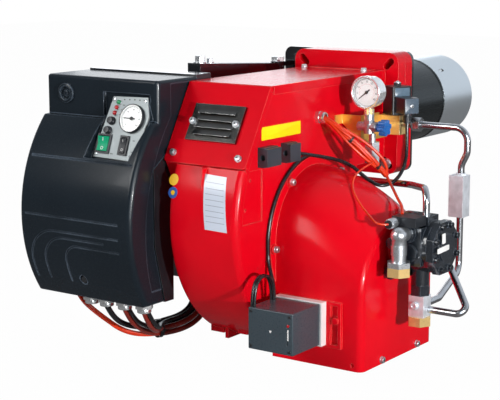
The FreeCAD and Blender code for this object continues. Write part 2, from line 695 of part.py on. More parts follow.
cross = fuse([
    cyl(V(valve_x, cross_y, cross_z - 12), Z, 9, stem_z - 12 - cross_z + 12),
    hexagon(V(valve_x, cross_y, cross_z + 6), Z, 19, 6),
    cyl(V(bracket_x, cross_y, cross_z), X, cross_r, 38),
    hexagon(V(valve_x + 8, cross_y, cross_z), X, 17, 8),
])
save("cross_fitting", cross)

knob_x = valve_x + 24
star = cyl(V(knob_x, cross_y, cross_z), X, 10, 13)
for k in range(6):
    a = math.radians(60 * k + 12)
    star = star.fuse(cyl(V(knob_x, cross_y + 10 * math.cos(a), cross_z + 10 * math.sin(a)), X, 4.6, 13))
star = star.fuse(cyl(V(bracket_x + 38 + seat_gap, cross_y, cross_z), X, 6, 8)).removeSplitter()
save("cock_knob", star)

cell_x = valve_x + 7
cell = fuse([
    hexagon(V(cell_x, cross_y, -66), Z, 25, 37),
    cyl(V(cell_x, cross_y, -31), Z, 6, 19 + cross_z),
])
save("pressure_switch", cell)

coil_c = V(148, -126, 10)
vb = fuse([
    box(bracket_x, 162, -141, -112, -26, 8),
    cyl(V(140, web_y - 0.3, cross_z - 8), Y, 6, 77),
    cyl(coil_c - Z * 3, Z, 8, 3),
])
save("valve_block", vb)
plug_turn = 60.0
coil = box(-20, 20, -18, 18, 0, 51)
coil = fillet_where(coil, 3, lambda c, e: abs(abs(c.x) - 20) < 0.1 and abs(abs(c.y) - 18) < 0.1)
coil.rotate(V(0, 0, 0), Z, plug_turn)
coil.translate(coil_c)
coil = coil.fuse(hexagon(coil_c + Z * 50.5, Z, 13, 6))
save("solenoid_coil", coil)
din = fuse([box(-14.5, 14.5, -51, -18, 5, 33), cyl(V(0, -36, -13), Z, 6.5, 20)])
din.rotate(V(0, 0, 0), Z, plug_turn)
din.translate(coil_c)
save("din_plug", din)

# Fuel lines
line_y = -127.0
union = fuse([cyl(V(162, line_y, -6), X, 7, 38), hexagon(V(182, line_y, -6), X, 22, 17, 30)])
bend_x = manifold_x + 11
route_high = [
    (200, line_y, -6), (bend_x, line_y, -6), (bend_x, line_y, -50), (manifold_x, line_y, -72),
    (manifold_x, line_y, manifold_z1 + 4),
]
save("line_high", fuse([union, rod_along("line_high", route_high, fuel_tube_d, 24)]))
manifold = box(manifold_x - 17, manifold_x + 11, line_y - 13, line_y + 14, manifold_z0, manifold_z1)
manifold = fuse([manifold, hexagon(V(manifold_x, line_y, manifold_z1 - 1), Z, 16, 5)])
save("metering_blocks", Part.makeCompound([block, manifold]))
route_down = [
    (manifold_x, line_y, manifold_z0), (manifold_x, line_y, -262), (port_x, -250, -284),
    (port_x, port_y + 13, -284),
]
save("line_down", rod_along("line_down", route_down, fuel_tube_d, 22))
pump_port = V(port_x, fan_y, pump_z) + return_dir * (pump_r + 3)
approach = pump_port + return_dir * 40
route_return = [(port_x + 14, -312, -289), (395, -312, -289), tuple(approach), tuple(pump_port)]
save("line_return", rod_along("line_return", route_return, fuel_tube_d, 13))
top_x, top_y = 303, fan_y + 14
short_y, short_z = -172, -108
route_short = [
    (duct_right, short_y, short_z), (205, short_y, short_z), (top_x, top_y, -88),
    (top_x, top_y, pump_z + 52),
]
save("line_short", rod_along("line_short", route_short, fuel_tube_d, 24))


# Control box: base with the glands, deep cover, sunk panel
def side_outline(x, inset, rear):
    """Profile of the cover in the YZ plane: straight upper front, bowed lower front."""
    top, low = box_top - inset, box_bottom + inset
    upper, bow = cover_upper_y + inset, cover_bow_y + inset
    step_z = 20 - inset
    a = V(x, upper, top)
    b = V(x, upper, step_z)
    c = V(x, upper - 12, step_z - 1)
    e = V(x, cover_low_y + inset, low)
    edges = [
        Part.LineSegment(a, b).toShape(),
        Part.LineSegment(b, c).toShape(),
        Part.Arc(c, V(x, bow, -142), e).toShape(),
        Part.LineSegment(e, V(x, -514 + rear, low)).toShape(),
        Part.LineSegment(V(x, -514 + rear, low), V(x, -540 + rear, -190)).toShape(),
        Part.LineSegment(V(x, -540 + rear, -190), V(x, -541 + rear, -60)).toShape(),
        Part.LineSegment(V(x, -541 + rear, -60), V(x, cover_rear_y + rear, 20)).toShape(),
        Part.LineSegment(V(x, cover_rear_y + rear, 20), V(x, cover_rear_y + rear, top)).toShape(),
        Part.LineSegment(V(x, cover_rear_y + rear, top), a).toShape(),
    ]
    return Part.Face(Part.Wire(edges))


cover = side_outline(box_x0, 0, 0).extrude(X * (box_x1 - box_x0))


def at_side(c):
    return min(abs(c.x - box_x0), abs(c.x - box_x1)) < 0.5


cover = fillet_where(cover, 9, lambda c, e: c.y < -515 and at_side(c))
cover = fillet_where(cover, 5, lambda c, e: c.z > box_top - 1 and c.y < cover_upper_y + 2)

# Low step along the right side, where the cover draws in
step_x = box_x1 - 2.5
step_top, step_low, step_rear = box_top - 7, -268, -400
corners = [V(step_x, y, z) for y, z in (
    (-552, step_low), (step_rear, step_low), (step_rear, step_top), (cover_side_y, step_top),
    (cover_side_y, 26),
)]
edges = [Part.LineSegment(p, q).toShape() for p, q in zip(corners, corners[1:])]
edges.append(Part.Arc(corners[-1], V(step_x, cover_low_y, -170), corners[0]).toShape())
step = Part.Face(Part.Wire(edges)).extrude(X * 5)
cover = cover.cut(step)

panel_n = V(0, -1, panel_slope).normalize()
rocker_at = ((-175, 30), (-131, 19))
rocker_z = -21
rocker_h = 27.6
frame_w = 7.4


def on_panel(x, z, lift):
    """Point over the sloping panel plane at height z."""
    return V(x, -551 + panel_slope * z, z) + panel_n * lift


def panel_block(x, z, w, h, l0, l1):
    s = V(0, panel_slope, 1).normalize()
    p = on_panel(x, z, l0)
    pts = [p + X * (a * w / 2) + s * (b * h / 2) for a, b in ((-1, -1), (1, -1), (1, 1), (-1, 1))]
    return prism(pts, panel_n * (l1 - l0))


panel_pts = [(-175, 57), (-101, 59), (-90, 27), (-106, -45), (-193, -43)]
recess_pts = [(-199, 62), (-97, 63), (-86, 24), (-103, -49), (-199, -49), (-189, 19)]
tool = prism([on_panel(x, z, -1.5) for x, z in recess_pts], panel_n * 60)
sunk = box(-198, -97, cover_upper_y - 6, cover_upper_y + 6, 23, 64)
console = prism([on_panel(x, z, -16) for x, z in panel_pts], panel_n * 14.5)
cover = cover.cut(tool).cut(sunk).fuse(console)

# Embossed lines on the bowed front: two straight, three turning down at their left ends
skin = side_outline(box_x0, 0, 0).cut(side_outline(box_x0, emboss, 0)).extrude(X * (box_x1 - box_x0))


def embossed(left, right, top, low, r):
    outer = rounded_plate(left, right + 200, low - 200, top, cover_bow_y - 10, cover_bow_y + 90, r)
    inner = rounded_plate(
        left + 2.4, right + 198, low - 198, top - 2.4, cover_bow_y - 11, cover_bow_y + 91, r - 2.4
    )
    return outer.cut(inner).common(box(left - 1, right, cover_bow_y - 12, cover_bow_y + 92, low, top + 1))


for left, right, top, low, r in (
    (-312, -107, -171, -262, 62), (-281, -140, -182, -262, 50), (-232, -107, -194, -262, 30)
):
    cover = cover.cut(embossed(left, right, top, low, r).common(skin))
for z0, x1 in ((-48, -92), (-147, -107)):
    line = box(box_x0 + 14, x1, cover_bow_y - 12, cover_bow_y + 92, z0 - 1.2, z0 + 1.2)
    cover = cover.cut(line.common(skin))
cover_screw = (-203.0, -256.0)
reset_at = V(-283, cover_upper_y, 57)
cover = cover.cut(cyl(reset_at + Y * 14, -Y, 5.2, 18))
cover = cover.fuse(ring(reset_at + Y * 1, -Y, 15, 11.5, 3))
cover = cover.cut(cyl(V(cover_screw[0], cover_low_y + 6, cover_screw[1]), -Y, 8, 50))
for x, w in rocker_at:
    cover = cover.cut(panel_block(x, rocker_z, w - frame_w, rocker_h, -5, 2))
save("control_cover", cover.removeSplitter())

back = [
    V(box_x0 + 6, -422, box_top - 2),
    V(box_x0 + 6, -422, 20),
    V(box_x0 + 6, -541, -60),
    V(box_x0 + 6, -540, -190),
    V(box_x0 + 6, -514, box_bottom),
    V(box_x0 + 6, -490, box_bottom),
    V(box_x0 + 6, -490, -60),
    V(box_x0 + 6, -380, 5),
    V(box_x0 + 6, -380, box_top + 3),
    V(box_x0 + 6, -422, box_top + 3),
]
strap = box(box_x1 - 3, duct_left, -412, -388, 24, 62)
save("control_base", fuse([prism(back, X * (box_x1 - 2 - box_x0 - 6)), strap]))

panel = prism([on_panel(x, z, -1.5) for x, z in panel_pts], panel_n * 2.0)
for x, w in rocker_at:
    panel = panel.cut(panel_block(x, rocker_z, w - frame_w, rocker_h, -5, 2))
save("control_panel", panel)
fittings = []
for x, z in ((-160, 48), (-162, 39), (-164, 30)):
    fittings.append(cyl(on_panel(x, z, 0.5), panel_n, 3.4, 4))
for x, z in ((-168, 17), (-171, 1)):
    collar = cyl(on_panel(x, z, 0.5), panel_n, 7, 2.5)
    fittings.append(fuse([collar, cyl(on_panel(x, z, 2.5), panel_n, 5.5, 5)]))
dial_at = (-124, 23)
dial = fuse([
    ring(on_panel(*dial_at, 0.5), panel_n, 24, spindle_r + 0.05, 2),
    ring(on_panel(*dial_at, 0.5), panel_n, 24.5, 21.5, 5),
])
save("panel_dial", dial)
u = V(-1, 0, 0)
c = on_panel(*dial_at, 3.2)
side = panel_n.cross(u)
hand = fuse([
    prism([c + u * a + side * b for a, b in ((-7, -1.4), (-7, 1.4), (17, 0.5), (17, -0.5))], panel_n * 0.8),
    cyl(c, panel_n, 3.2, 1.2),
    cyl(c - panel_n * 1.8, panel_n, spindle_r, 2),
])
save("dial_pointer", hand)


def rocker(x, z, w, h):
    """Rocker key: shallow V of two flats over a barrel, tipped seven degrees."""
    s = V(0, panel_slope, 1).normalize()
    p = on_panel(x, z, 1.2)
    pts = [
        p - s * (h / 2), p + s * (h / 2),
        p + s * (h / 2) + panel_n * 4.5, p + panel_n * 2.4, p - s * (h / 2) + panel_n * 4.5,
    ]
    key = prism([q - X * (w / 2) for q in pts], X * w)
    key.rotate(p, X, 6)
    return key


for x, w in rocker_at:
    frame = panel_block(x, rocker_z, w, rocker_h + 6.4, 0.5, 3)
    fittings.append(frame.cut(panel_block(x, rocker_z, w - frame_w, rocker_h, -2, 5)))
save("panel_fittings", Part.makeCompound(fittings))
for name, (x, w) in zip(("power_rocker", "stage_rocker"), rocker_at):
    save(name, rocker(x, rocker_z, w - frame_w - 1.2, rocker_h - 2.6))
save("reset_button", cyl(reset_at + Y * 9, -Y, 5.0, 10))

gland_y = -544.0
gland_x = (-222, -188, -147, -104)
glands = []
for x in gland_x:
    c = V(x, gland_y, box_bottom)
    glands.append(fuse([hexagon(c, -Z, 28, 8), cyl(c - Z * 7, -Z, 12, 8)]))
side = V(duct_right, side_gland_y, 17)
metal = fuse([hexagon(side, X, 20, 7), cyl(side + X * 6, X, 8.5, 10)])
glands.append(metal.cut(cyl(side + X * 4, X, 6.2, 20)))
save("cable_glands", Part.makeCompound(glands))

# Connector blocks and cables
hug_r = collar_r + cable_d / 2 + 0.2
hug_x = duct_right + cable_d / 2
block_z = -32.5
blocks = []
for y0, length in ((duct_front_low_y + 36, 40), (duct_front_low_y + 104, 31)):
    block = fuse([
        box(duct_right, duct_right + 13, y0, y0 + length, block_z - 16.5, block_z + 16.5),
        box(duct_right, duct_right + 20, y0, y0 + length, block_z - 15, block_z + 15),
    ])
    blocks.append(block.cut(cyl(V(duct_right + 10, y0 - 1, block_z), Y, 5, 9)))
save("connector_blocks", Part.makeCompound(blocks))

hug_y = fan_y - hug_r
a0, a1 = math.radians(96), math.pi
ends = [V(hug_x, fan_y + hug_r * math.cos(a), fan_z + hug_r * math.sin(a)) for a in (a0, (a0 + a1) / 2, a1)]
foot_x, foot_y = servo_x0 + 4, servo_back - 11
tail = [
    (hug_x, hug_y, fan_z), (hug_x, hug_y, fan_z - 27), (foot_x, foot_y, servo_z1 + 21),
    (foot_x, foot_y, servo_z1),
]
tail_wire, radii = bent_path(tail)
print("collar_cable radii", round(hug_r), radii)
tangent = V(0, -math.sin(a0), math.cos(a0))
section = Part.Face(Part.Wire(Part.Circle(ends[0], tangent, cable_d / 2).toShape()))
save("collar_cable", Part.Wire([Part.Arc(*ends).toShape()] + tail_wire.Edges).makePipe(section))

loop_d = 5.0
loop_top = servo_z1 + 46
loops = []
for x in (foot_x, foot_x + loop_d + seat_gap):
    near, far = servo_back - 20, servo_front + 5
    servo_loop = [
        (x, near, servo_z1), (x, near - 1, loop_top - 18), (x, near - 16, loop_top),
        (x, far + 16, loop_top), (x, far + 1, loop_top - 18), (x, far, servo_z1),
    ]
    loops.append(rod_along("servo_loop", servo_loop, loop_d))
save("servo_loop", Part.makeCompound(loops))
sleeve = [
    (side.x + 4, side.y, side.z), (116, -295, 11), (150, -283, -22), (178, -256, -58), (190, -234, -85),
]
save("sleeve_cable", rod_along("sleeve_cable", sleeve, 11.0))
pump_wire = [
    (190, -234, -85), (214, -252, -104), (246, -292, -113), (276, -330, -117), (284, -346, coil_z + 9),
]
save("pump_wire", rod_along("pump_wire", pump_wire, 5.0))
turn = math.radians(plug_turn)
plug_out = coil_c + V(math.sin(turn) * 36, -math.cos(turn) * 36, -13)
valve_route = [
    (duct_right + 12, duct_front_low_y + 135, -36), (112, -318, -47), (132, -262, -65), (148, -236, -92),
    (161, -206, -112), (185, -190, -102), (186, -158, -74), (181, -146, -36), tuple(plug_out),
]
save("valve_cable", rod_along("valve_cable", valve_route, cable_d))
thermo = [
    (178, -256, -58), (172, -280, -66), (176, -314, -72), (181, -334, -83), (193, -352, -95),
    (219, -372, -112), (250, -394, -125), (276, coil_y - 60, coil_z), (286, coil_y - 44, coil_z),
]
save("thermo_wire", rod_along("thermo_wire", thermo, 3.5))

# Cables under the control box, tied in a bundle and led up to the motor
starts = [(x, gland_y, box_bottom - 15) for x in gland_x]
box_cables = (
    (
        "box_cable_red", (-302, -502, box_bottom), -137,
        ((-290, -502, -318), (-243, -500, -344), (-197, -488, -371), (-163, -448, -379)),
    ),
    ("box_cable_black", starts[1], -137, ((-187, -528, -336), (-176, -494, -356), (-162, -446, -366))),
    ("box_cable_brown", starts[2], -124, ((-149, -526, -336), (-150, -490, -360), (-149, -446, -377))),
    ("box_cable_orange", starts[3], -124, ((-105, -530, -334), (-122, -490, -357), (-149, -446, -366))),
)
for k, (name, start, end_x, middle) in enumerate(box_cables):
    rise = 11 * (k % 2)
    last = [(end_x, -385 - rise / 2, middle[-1][2] + 6), (end_x, -334 - rise, -345 + rise)]
    save(name, rod_along(name, [start] + list(middle) + last + [(end_x, -334 - rise, terminal_z)], 10.0))

count = len([f for f in os.listdir("parts") if f.endswith(".step")])
print("parts written", count)
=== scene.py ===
import json
import math

import bpy
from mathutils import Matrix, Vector


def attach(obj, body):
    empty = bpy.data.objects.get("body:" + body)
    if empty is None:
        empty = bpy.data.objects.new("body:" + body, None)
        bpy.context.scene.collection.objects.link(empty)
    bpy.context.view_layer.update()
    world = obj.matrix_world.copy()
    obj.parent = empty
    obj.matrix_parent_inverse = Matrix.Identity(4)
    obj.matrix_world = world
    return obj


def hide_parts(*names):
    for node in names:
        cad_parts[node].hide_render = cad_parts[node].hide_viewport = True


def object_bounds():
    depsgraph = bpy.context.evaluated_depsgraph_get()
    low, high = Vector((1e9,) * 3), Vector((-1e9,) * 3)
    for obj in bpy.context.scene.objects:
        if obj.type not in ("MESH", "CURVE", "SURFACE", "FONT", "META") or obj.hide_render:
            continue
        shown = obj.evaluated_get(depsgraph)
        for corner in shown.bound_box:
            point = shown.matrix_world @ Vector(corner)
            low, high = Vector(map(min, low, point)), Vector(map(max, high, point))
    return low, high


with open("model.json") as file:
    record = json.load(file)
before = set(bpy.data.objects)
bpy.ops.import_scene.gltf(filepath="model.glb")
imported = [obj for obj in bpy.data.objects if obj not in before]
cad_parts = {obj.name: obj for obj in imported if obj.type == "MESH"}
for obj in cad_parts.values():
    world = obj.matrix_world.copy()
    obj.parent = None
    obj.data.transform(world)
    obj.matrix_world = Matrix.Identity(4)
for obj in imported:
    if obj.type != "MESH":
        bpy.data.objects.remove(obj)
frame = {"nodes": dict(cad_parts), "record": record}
cad_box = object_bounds()
MM = 0.001
X, Y, Z = Vector((1, 0, 0)), Vector((0, 1, 0)), Vector((0, 0, 1))
root = bpy.context.scene.collection


def mm(x, y, z):
    """Point in the row frame from millimetres."""
    return Vector((x, y, z)) * MM


# Camera: three-quarter view from the pump side, a little above the burner
eye = mm(1390.3, -2357.8, 309.2)
focal_length, sensor_width = 101.64, 36
azimuth, elevation = math.radians(35.07), math.radians(10.21)
level = math.cos(elevation)
sight = Vector((-math.sin(azimuth) * level, math.cos(azimuth) * level, -math.sin(elevation)))
camera = bpy.data.objects.new("camera", bpy.data.cameras.new("camera"))
camera.data.sensor_width = sensor_width
camera.data.lens = focal_length
camera.location = eye
camera.rotation_euler = sight.to_track_quat("-Z", "Y").to_euler()
root.objects.link(camera)
bpy.context.scene.camera = camera


# Materials: every finish is a small node network on the shader's colour, roughness and normal
noise_low, noise_high = 0.3, 0.7
coat_rough = 0.06
edge_starts, edge_full = 0.99, 0.85
lamp_and_painted_glow, window_index = 0.04, 1.2


def surface(name, colour, rough=0.4, metal=0.0, coat=0.0, drift=0.1, patch=25.0, grain=600.0, relief=0.01,
            stretch=(1, 1, 1), soft=0.6, edge_highlight=None, highlight_strength=0.35, specular=0.5, rough_drift=0.15):
    """A finish with drifting colour, fine grain, softened edges and, where given, a painted highlight that lightens
    the edges towards another colour.
    """
    mat = bpy.data.materials.new(name)
    mat.use_nodes = True
    nodes, links = mat.node_tree.nodes, mat.node_tree.links
    shader = nodes["Principled BSDF"]
    shader.inputs["Metallic"].default_value = metal
    shader.inputs["Coat Weight"].default_value = coat
    shader.inputs["Coat Roughness"].default_value = coat_rough
    shader.inputs["Specular IOR Level"].default_value = specular

    def add(kind, **values):
        node = nodes.new("ShaderNode" + kind)
        for key, value in values.items():
            node.inputs[key.replace("_", " ")].default_value = value
        return node

    def mixed(factor, first, second):
        """Colour between two, each of which is a colour or another node's output."""
        mix = nodes.new("ShaderNodeMix")
        mix.data_type = "RGBA"
        for socket, value in ((mix.inputs[6], first), (mix.inputs[7], second)):
            if isinstance(value, tuple):
                socket.default_value = (*value, 1)
            else:
                links.new(value, socket)
        links.new(factor, mix.inputs["Factor"])
        return mix.outputs[2]

    coords = nodes.new("ShaderNodeTexCoord")
    mapping = add("Mapping", Scale=stretch)
    links.new(coords.outputs["Object"], mapping.inputs["Vector"])
    patches = add("TexNoise", Scale=patch, Detail=4.0)
    links.new(mapping.outputs["Vector"], patches.inputs["Vector"])
    fine = add("TexNoise", Scale=grain, Detail=2.0)
    links.new(mapping.outputs["Vector"], fine.inputs["Vector"])

    spread = add("MapRange", From_Min=noise_low, From_Max=noise_high)
    links.new(patches.outputs["Fac"], spread.inputs["Value"])
    darker = tuple(c * (1 - drift) for c in colour)
    lighter = tuple(min(1, c * (1 + drift)) for c in colour)
    base = mixed(spread.outputs["Result"], darker, lighter)

    softened = add("Bevel", Radius=soft * MM)
    softened.samples = 4
    # Painted highlight: where the bevel's normal turns from the face's, the edges are lightened towards the given
    # colour, patchy with the large noise
    if edge_highlight:
        geometry = nodes.new("ShaderNodeNewGeometry")
        turn = nodes.new("ShaderNodeVectorMath")
        turn.operation = "DOT_PRODUCT"
        links.new(softened.outputs["Normal"], turn.inputs[0])
        links.new(geometry.outputs["Normal"], turn.inputs[1])
        edge = add("MapRange", From_Min=edge_starts, From_Max=edge_full, To_Max=highlight_strength)
        links.new(turn.outputs["Value"], edge.inputs["Value"])
        patchy_highlight = nodes.new("ShaderNodeMath")
        patchy_highlight.operation = "MULTIPLY"
        links.new(edge.outputs["Result"], patchy_highlight.inputs[0])
        links.new(spread.outputs["Result"], patchy_highlight.inputs[1])
        base = mixed(patchy_highlight.outputs["Value"], base, edge_highlight)
    links.new(base, shader.inputs["Base Color"])

    gloss = add("MapRange", From_Min=noise_low, From_Max=noise_high,
                To_Min=rough * (1 - rough_drift), To_Max=rough * (1 + rough_drift))
    links.new(fine.outputs["Fac"], gloss.inputs["Value"])
    links.new(gloss.outputs["Result"], shader.inputs["Roughness"])
    bump = add("Bump", Strength=1.0, Distance=relief * MM)
    links.new(fine.outputs["Fac"], bump.inputs["Height"])
    links.new(softened.outputs["Normal"], bump.inputs["Normal"])
    links.new(bump.outputs["Normal"], shader.inputs["Normal"])
    return mat


def clear_cover(name, tint):
    """Clear moulded window."""
    mat = surface(name, tint, 0.05, drift=0.02, relief=0.002, soft=0.3)
    shader = mat.node_tree.nodes["Principled BSDF"]
    shader.inputs["Transmission Weight"].default_value = 1.0
    shader.inputs["IOR"].default_value = window_index
    return mat


def lens(name, colour):
    """Coloured translucent lamp or key, glowing faintly; on a key, button or mark the glow is painted light."""
    mat = surface(name, colour, 0.16, coat=0.6, drift=0.15, patch=90, relief=0.01, soft=0.4)
    shader = mat.node_tree.nodes["Principled BSDF"]
    # Faint glow of the lens's own colour: painted light wherever the part is no lamp
    shader.inputs["Emission Color"].default_value = (*colour, 1)
    shader.inputs["Emission Strength"].default_value = lamp_and_painted_glow
    return mat


along_tube = (1, 0.06, 1)
# Finishes named as the record's material slots; the lighter edge colours given to them are painted highlights
finish = {
    "red_paint": surface("red_enamel", (0.7, 0.0015, 0.01), 0.2, coat=0.03, drift=0.05, patch=14, grain=330,
                         relief=0.03, soft=1.6, edge_highlight=(1.0, 0.3, 0.25), highlight_strength=0.7, specular=0.15),
    "black_paint": surface("black_enamel", (0.012, 0.014, 0.017), 0.22, coat=0.9, drift=0.25, relief=0.01,
                           soft=1.4, edge_highlight=(0.16, 0.18, 0.2), highlight_strength=0.6, specular=0.3),
    "dark_steel": surface("heated_steel", (0.04, 0.047, 0.05), 0.28, metal=0.85, drift=0.3, patch=18, grain=240,
                          relief=0.006, stretch=along_tube, soft=0.8),
    "stainless": surface("rolled_stainless", (0.74, 0.8, 0.84), 0.36, metal=0.9, drift=0.03, patch=10, grain=500,
                         relief=0.0, stretch=(1, 0.3, 1), soft=0.8, rough_drift=0.03),
    "bright_zinc": surface("bright_zinc", (0.62, 0.64, 0.66), 0.3, metal=0.9, drift=0.15, patch=60, relief=0.01,
                           soft=0.5, edge_highlight=(0.85, 0.85, 0.84), highlight_strength=0.5),
    "dark_plate": surface("bronze_nickel", (0.17, 0.165, 0.155), 0.2, metal=1, drift=0.15, patch=50, relief=0.004,
                          soft=0.7, edge_highlight=(0.95, 0.94, 0.92), highlight_strength=1.0),
    "brass": surface("turned_brass", (0.86, 0.6, 0.24), 0.32, metal=0.65, drift=0.12, patch=45, grain=800,
                     relief=0.008, soft=0.5, edge_highlight=(1.0, 0.88, 0.58), highlight_strength=0.6),
    "yellow_zinc": surface("yellow_zinc", (0.8, 0.46, 0.1), 0.36, metal=0.6, drift=0.18, patch=40, relief=0.01,
                           soft=0.5, edge_highlight=(0.98, 0.86, 0.55), highlight_strength=0.5),
    "cast_aluminium": surface("milled_aluminium", (0.76, 0.79, 0.84), 0.42, metal=0.5, drift=0.16, patch=70,
                              grain=500, relief=0.03, soft=0.8, edge_highlight=(0.9, 0.9, 0.9), highlight_strength=0.5),
    "galvanised": surface("galvanised_sheet", (0.66, 0.7, 0.74), 0.36, metal=0.85, drift=0.2, patch=90, relief=0.008,
                          soft=0.5),
    "motor_paint": surface("motor_enamel", (0.07, 0.075, 0.08), 0.42, drift=0.2, relief=0.03, soft=0.8,
                           edge_highlight=(0.25, 0.25, 0.25)),
    "pump_black": surface("pump_casting", (0.009, 0.013, 0.019), 0.24, coat=0.8, drift=0.3, grain=380, relief=0.03,
                          soft=1.6, edge_highlight=(0.16, 0.18, 0.22), highlight_strength=0.7),
    "tube_steel": surface("drawn_tube", (0.56, 0.57, 0.59), 0.2, metal=1, drift=0.14, patch=40, relief=0.004,
                          soft=0.4),
    "cover_black": surface("cover_moulding", (0.01, 0.0155, 0.0215), 0.25, coat=0.08, drift=0.1, patch=8, grain=900,
                           relief=0.003, soft=2.8, edge_highlight=(0.24, 0.31, 0.4), highlight_strength=0.85, specular=0.2),
    "plastic_black": surface("black_plastic", (0.017, 0.019, 0.023), 0.34, drift=0.15, grain=700, relief=0.012,
                             soft=0.6, edge_highlight=(0.13, 0.14, 0.16), highlight_strength=0.5),
    "servo_white": surface("white_plastic", (0.8, 0.8, 0.79), 0.4, drift=0.04, relief=0.01, soft=0.8),
    "panel_silver": surface("panel_sheet", (0.27, 0.3, 0.305), 0.34, metal=0.5, drift=0.1, patch=16, grain=1400,
                            relief=0.004, stretch=(0.05, 1, 1), soft=0.4, edge_highlight=(0.85, 0.85, 0.85), highlight_strength=0.6),
    "gauge_chrome": surface("polished_chrome", (0.93, 0.94, 0.95), 0.2, metal=0.75, drift=0.05, relief=0.002,
                            soft=0.6),
    "dial_white": surface("dial_face", (0.88, 0.88, 0.86), 0.45, drift=0.03, relief=0.002, soft=0.2),
    "needle_black": surface("needle", (0.012, 0.012, 0.012), 0.5, drift=0.1, relief=0.004, soft=0.2),
    # The green key and the red button glow faintly: painted light
    "green_lens": lens("green_key", (0.004, 0.36, 0.17)),
    "button_red": lens("dark_red_button", (0.16, 0.012, 0.012)),
    "knob_blue": surface("blue_knob", (0.012, 0.13, 0.46), 0.26, coat=0.3, drift=0.08, relief=0.01, soft=0.9,
                         edge_highlight=(0.2, 0.38, 0.75), highlight_strength=0.5),
    "gland_metal": surface("nickel_gland", (0.78, 0.79, 0.79), 0.22, metal=0.9, drift=0.08, patch=60, relief=0.008,
                           soft=0.6),
    "cable_black": surface("black_cable", (0.012, 0.012, 0.014), 0.26, drift=0.2, patch=60, grain=900, relief=0.008,
                           soft=0.3),
    "cable_red": surface("oxide_red_cable", (0.22, 0.018, 0.01), 0.26, coat=0.3, drift=0.25, patch=50, relief=0.01,
                         soft=0.3),
    "cable_orange": surface("orange_cable", (0.76, 0.04, 0.006), 0.24, coat=0.15, drift=0.15, patch=60, grain=900,
                            relief=0.01, soft=0.3),
}
zinc = finish["bright_zinc"]
# The lighter edge colours of these mouldings are painted highlights as well
gunmetal = surface("servo_moulding", (0.042, 0.06, 0.073), 0.3, drift=0.08, patch=14, relief=0.006, soft=0.9,
                   edge_highlight=(0.2, 0.22, 0.24), highlight_strength=0.7)
slate = surface("block_moulding", (0.035, 0.043, 0.055), 0.36, drift=0.1, patch=30, relief=0.01, soft=0.7,
                edge_highlight=(0.2, 0.22, 0.26), highlight_strength=0.7)
face_blue = surface("plug_face", (0.085, 0.12, 0.16), 0.34, drift=0.08, relief=0.01, soft=0.6,
                    edge_highlight=(0.3, 0.36, 0.42), highlight_strength=0.7)
plate_slate = surface("coil_plate_film", (0.13, 0.2, 0.27), 0.24, drift=0.2, patch=40, relief=0.004, soft=0.3)
tie_black = surface("cable_tie", (0.012, 0.012, 0.013), 0.3, drift=0.1, relief=0.01, soft=0.3)
# Black print; on slots and sockets the same black is painted shade of their recesses
black_print_and_recess_shade = surface("print_and_recess_shade_black", (0.012, 0.012, 0.012), 0.5, drift=0.05, relief=0.001, soft=0.05)
print_red = surface("scale_print_red", (0.6, 0.02, 0.02), 0.5, drift=0.05, relief=0.001, soft=0.05)
print_white = surface("mark_white", (0.82, 0.82, 0.8), 0.45, drift=0.04, relief=0.001, soft=0.05)
label_yellow = surface("yellow_label", (0.98, 0.8, 0.004), 0.3, drift=0.04, patch=30, relief=0.004, soft=0.2,
                       specular=0.2)
sticker_yellow = surface("yellow_sticker", (0.92, 0.52, 0.012), 0.3, drift=0.04, patch=30, relief=0.004, soft=0.2)
label_blue = surface("blue_label", (0.02, 0.1, 0.42), 0.3, coat=0.3, drift=0.06, relief=0.004, soft=0.2)
label_pale = surface("plate_film", (0.62, 0.68, 0.78), 0.24, coat=0.4, drift=0.05, patch=12, relief=0.004, soft=0.2)
label_rule = surface("plate_rule", (0.2, 0.23, 0.3), 0.4, drift=0.05, relief=0.001, soft=0.05)
glass = clear_cover("window_glass", (1, 1, 1))
red_lamp = lens("red_lamp", (0.42, 0.006, 0.01))
green_lamp = lens("green_lamp", (0.006, 0.26, 0.09))


# Shading: curved faces smooth, edges above an angle sharp
sharp_angle, merge_distance = 33, 0.002


def smoothing_group():
    group = bpy.data.node_groups.new("smooth_below_angle", "GeometryNodeTree")
    group.interface.new_socket("Mesh", in_out="INPUT", socket_type="NodeSocketGeometry")
    group.interface.new_socket("Mesh", in_out="OUTPUT", socket_type="NodeSocketGeometry")
    nodes, links = group.nodes, group.links
    start = nodes.new("NodeGroupInput")
    end = nodes.new("NodeGroupOutput")
    merge = nodes.new("GeometryNodeMergeByDistance")
    merge.inputs["Distance"].default_value = merge_distance * MM
    angle = nodes.new("GeometryNodeInputMeshEdgeAngle")
    gentle = nodes.new("FunctionNodeCompare")
    gentle.operation = "LESS_THAN"
    gentle.inputs[1].default_value = math.radians(sharp_angle)
    faces = nodes.new("GeometryNodeSetShadeSmooth")
    edges = nodes.new("GeometryNodeSetShadeSmooth")
    edges.domain = "EDGE"
    links.new(start.outputs[0], merge.inputs["Geometry"])
    links.new(merge.outputs["Geometry"], faces.inputs["Geometry"])
    links.new(faces.outputs["Geometry"], edges.inputs["Geometry"])
    links.new(angle.outputs["Unsigned Angle"], gentle.inputs[0])
    links.new(gentle.outputs["Result"], edges.inputs["Shade Smooth"])
    links.new(edges.outputs["Geometry"], end.inputs[0])
    return group


smooth_group = smoothing_group()


def shade(obj):
    obj.modifiers.new("smooth", "NODES").node_group = smooth_group


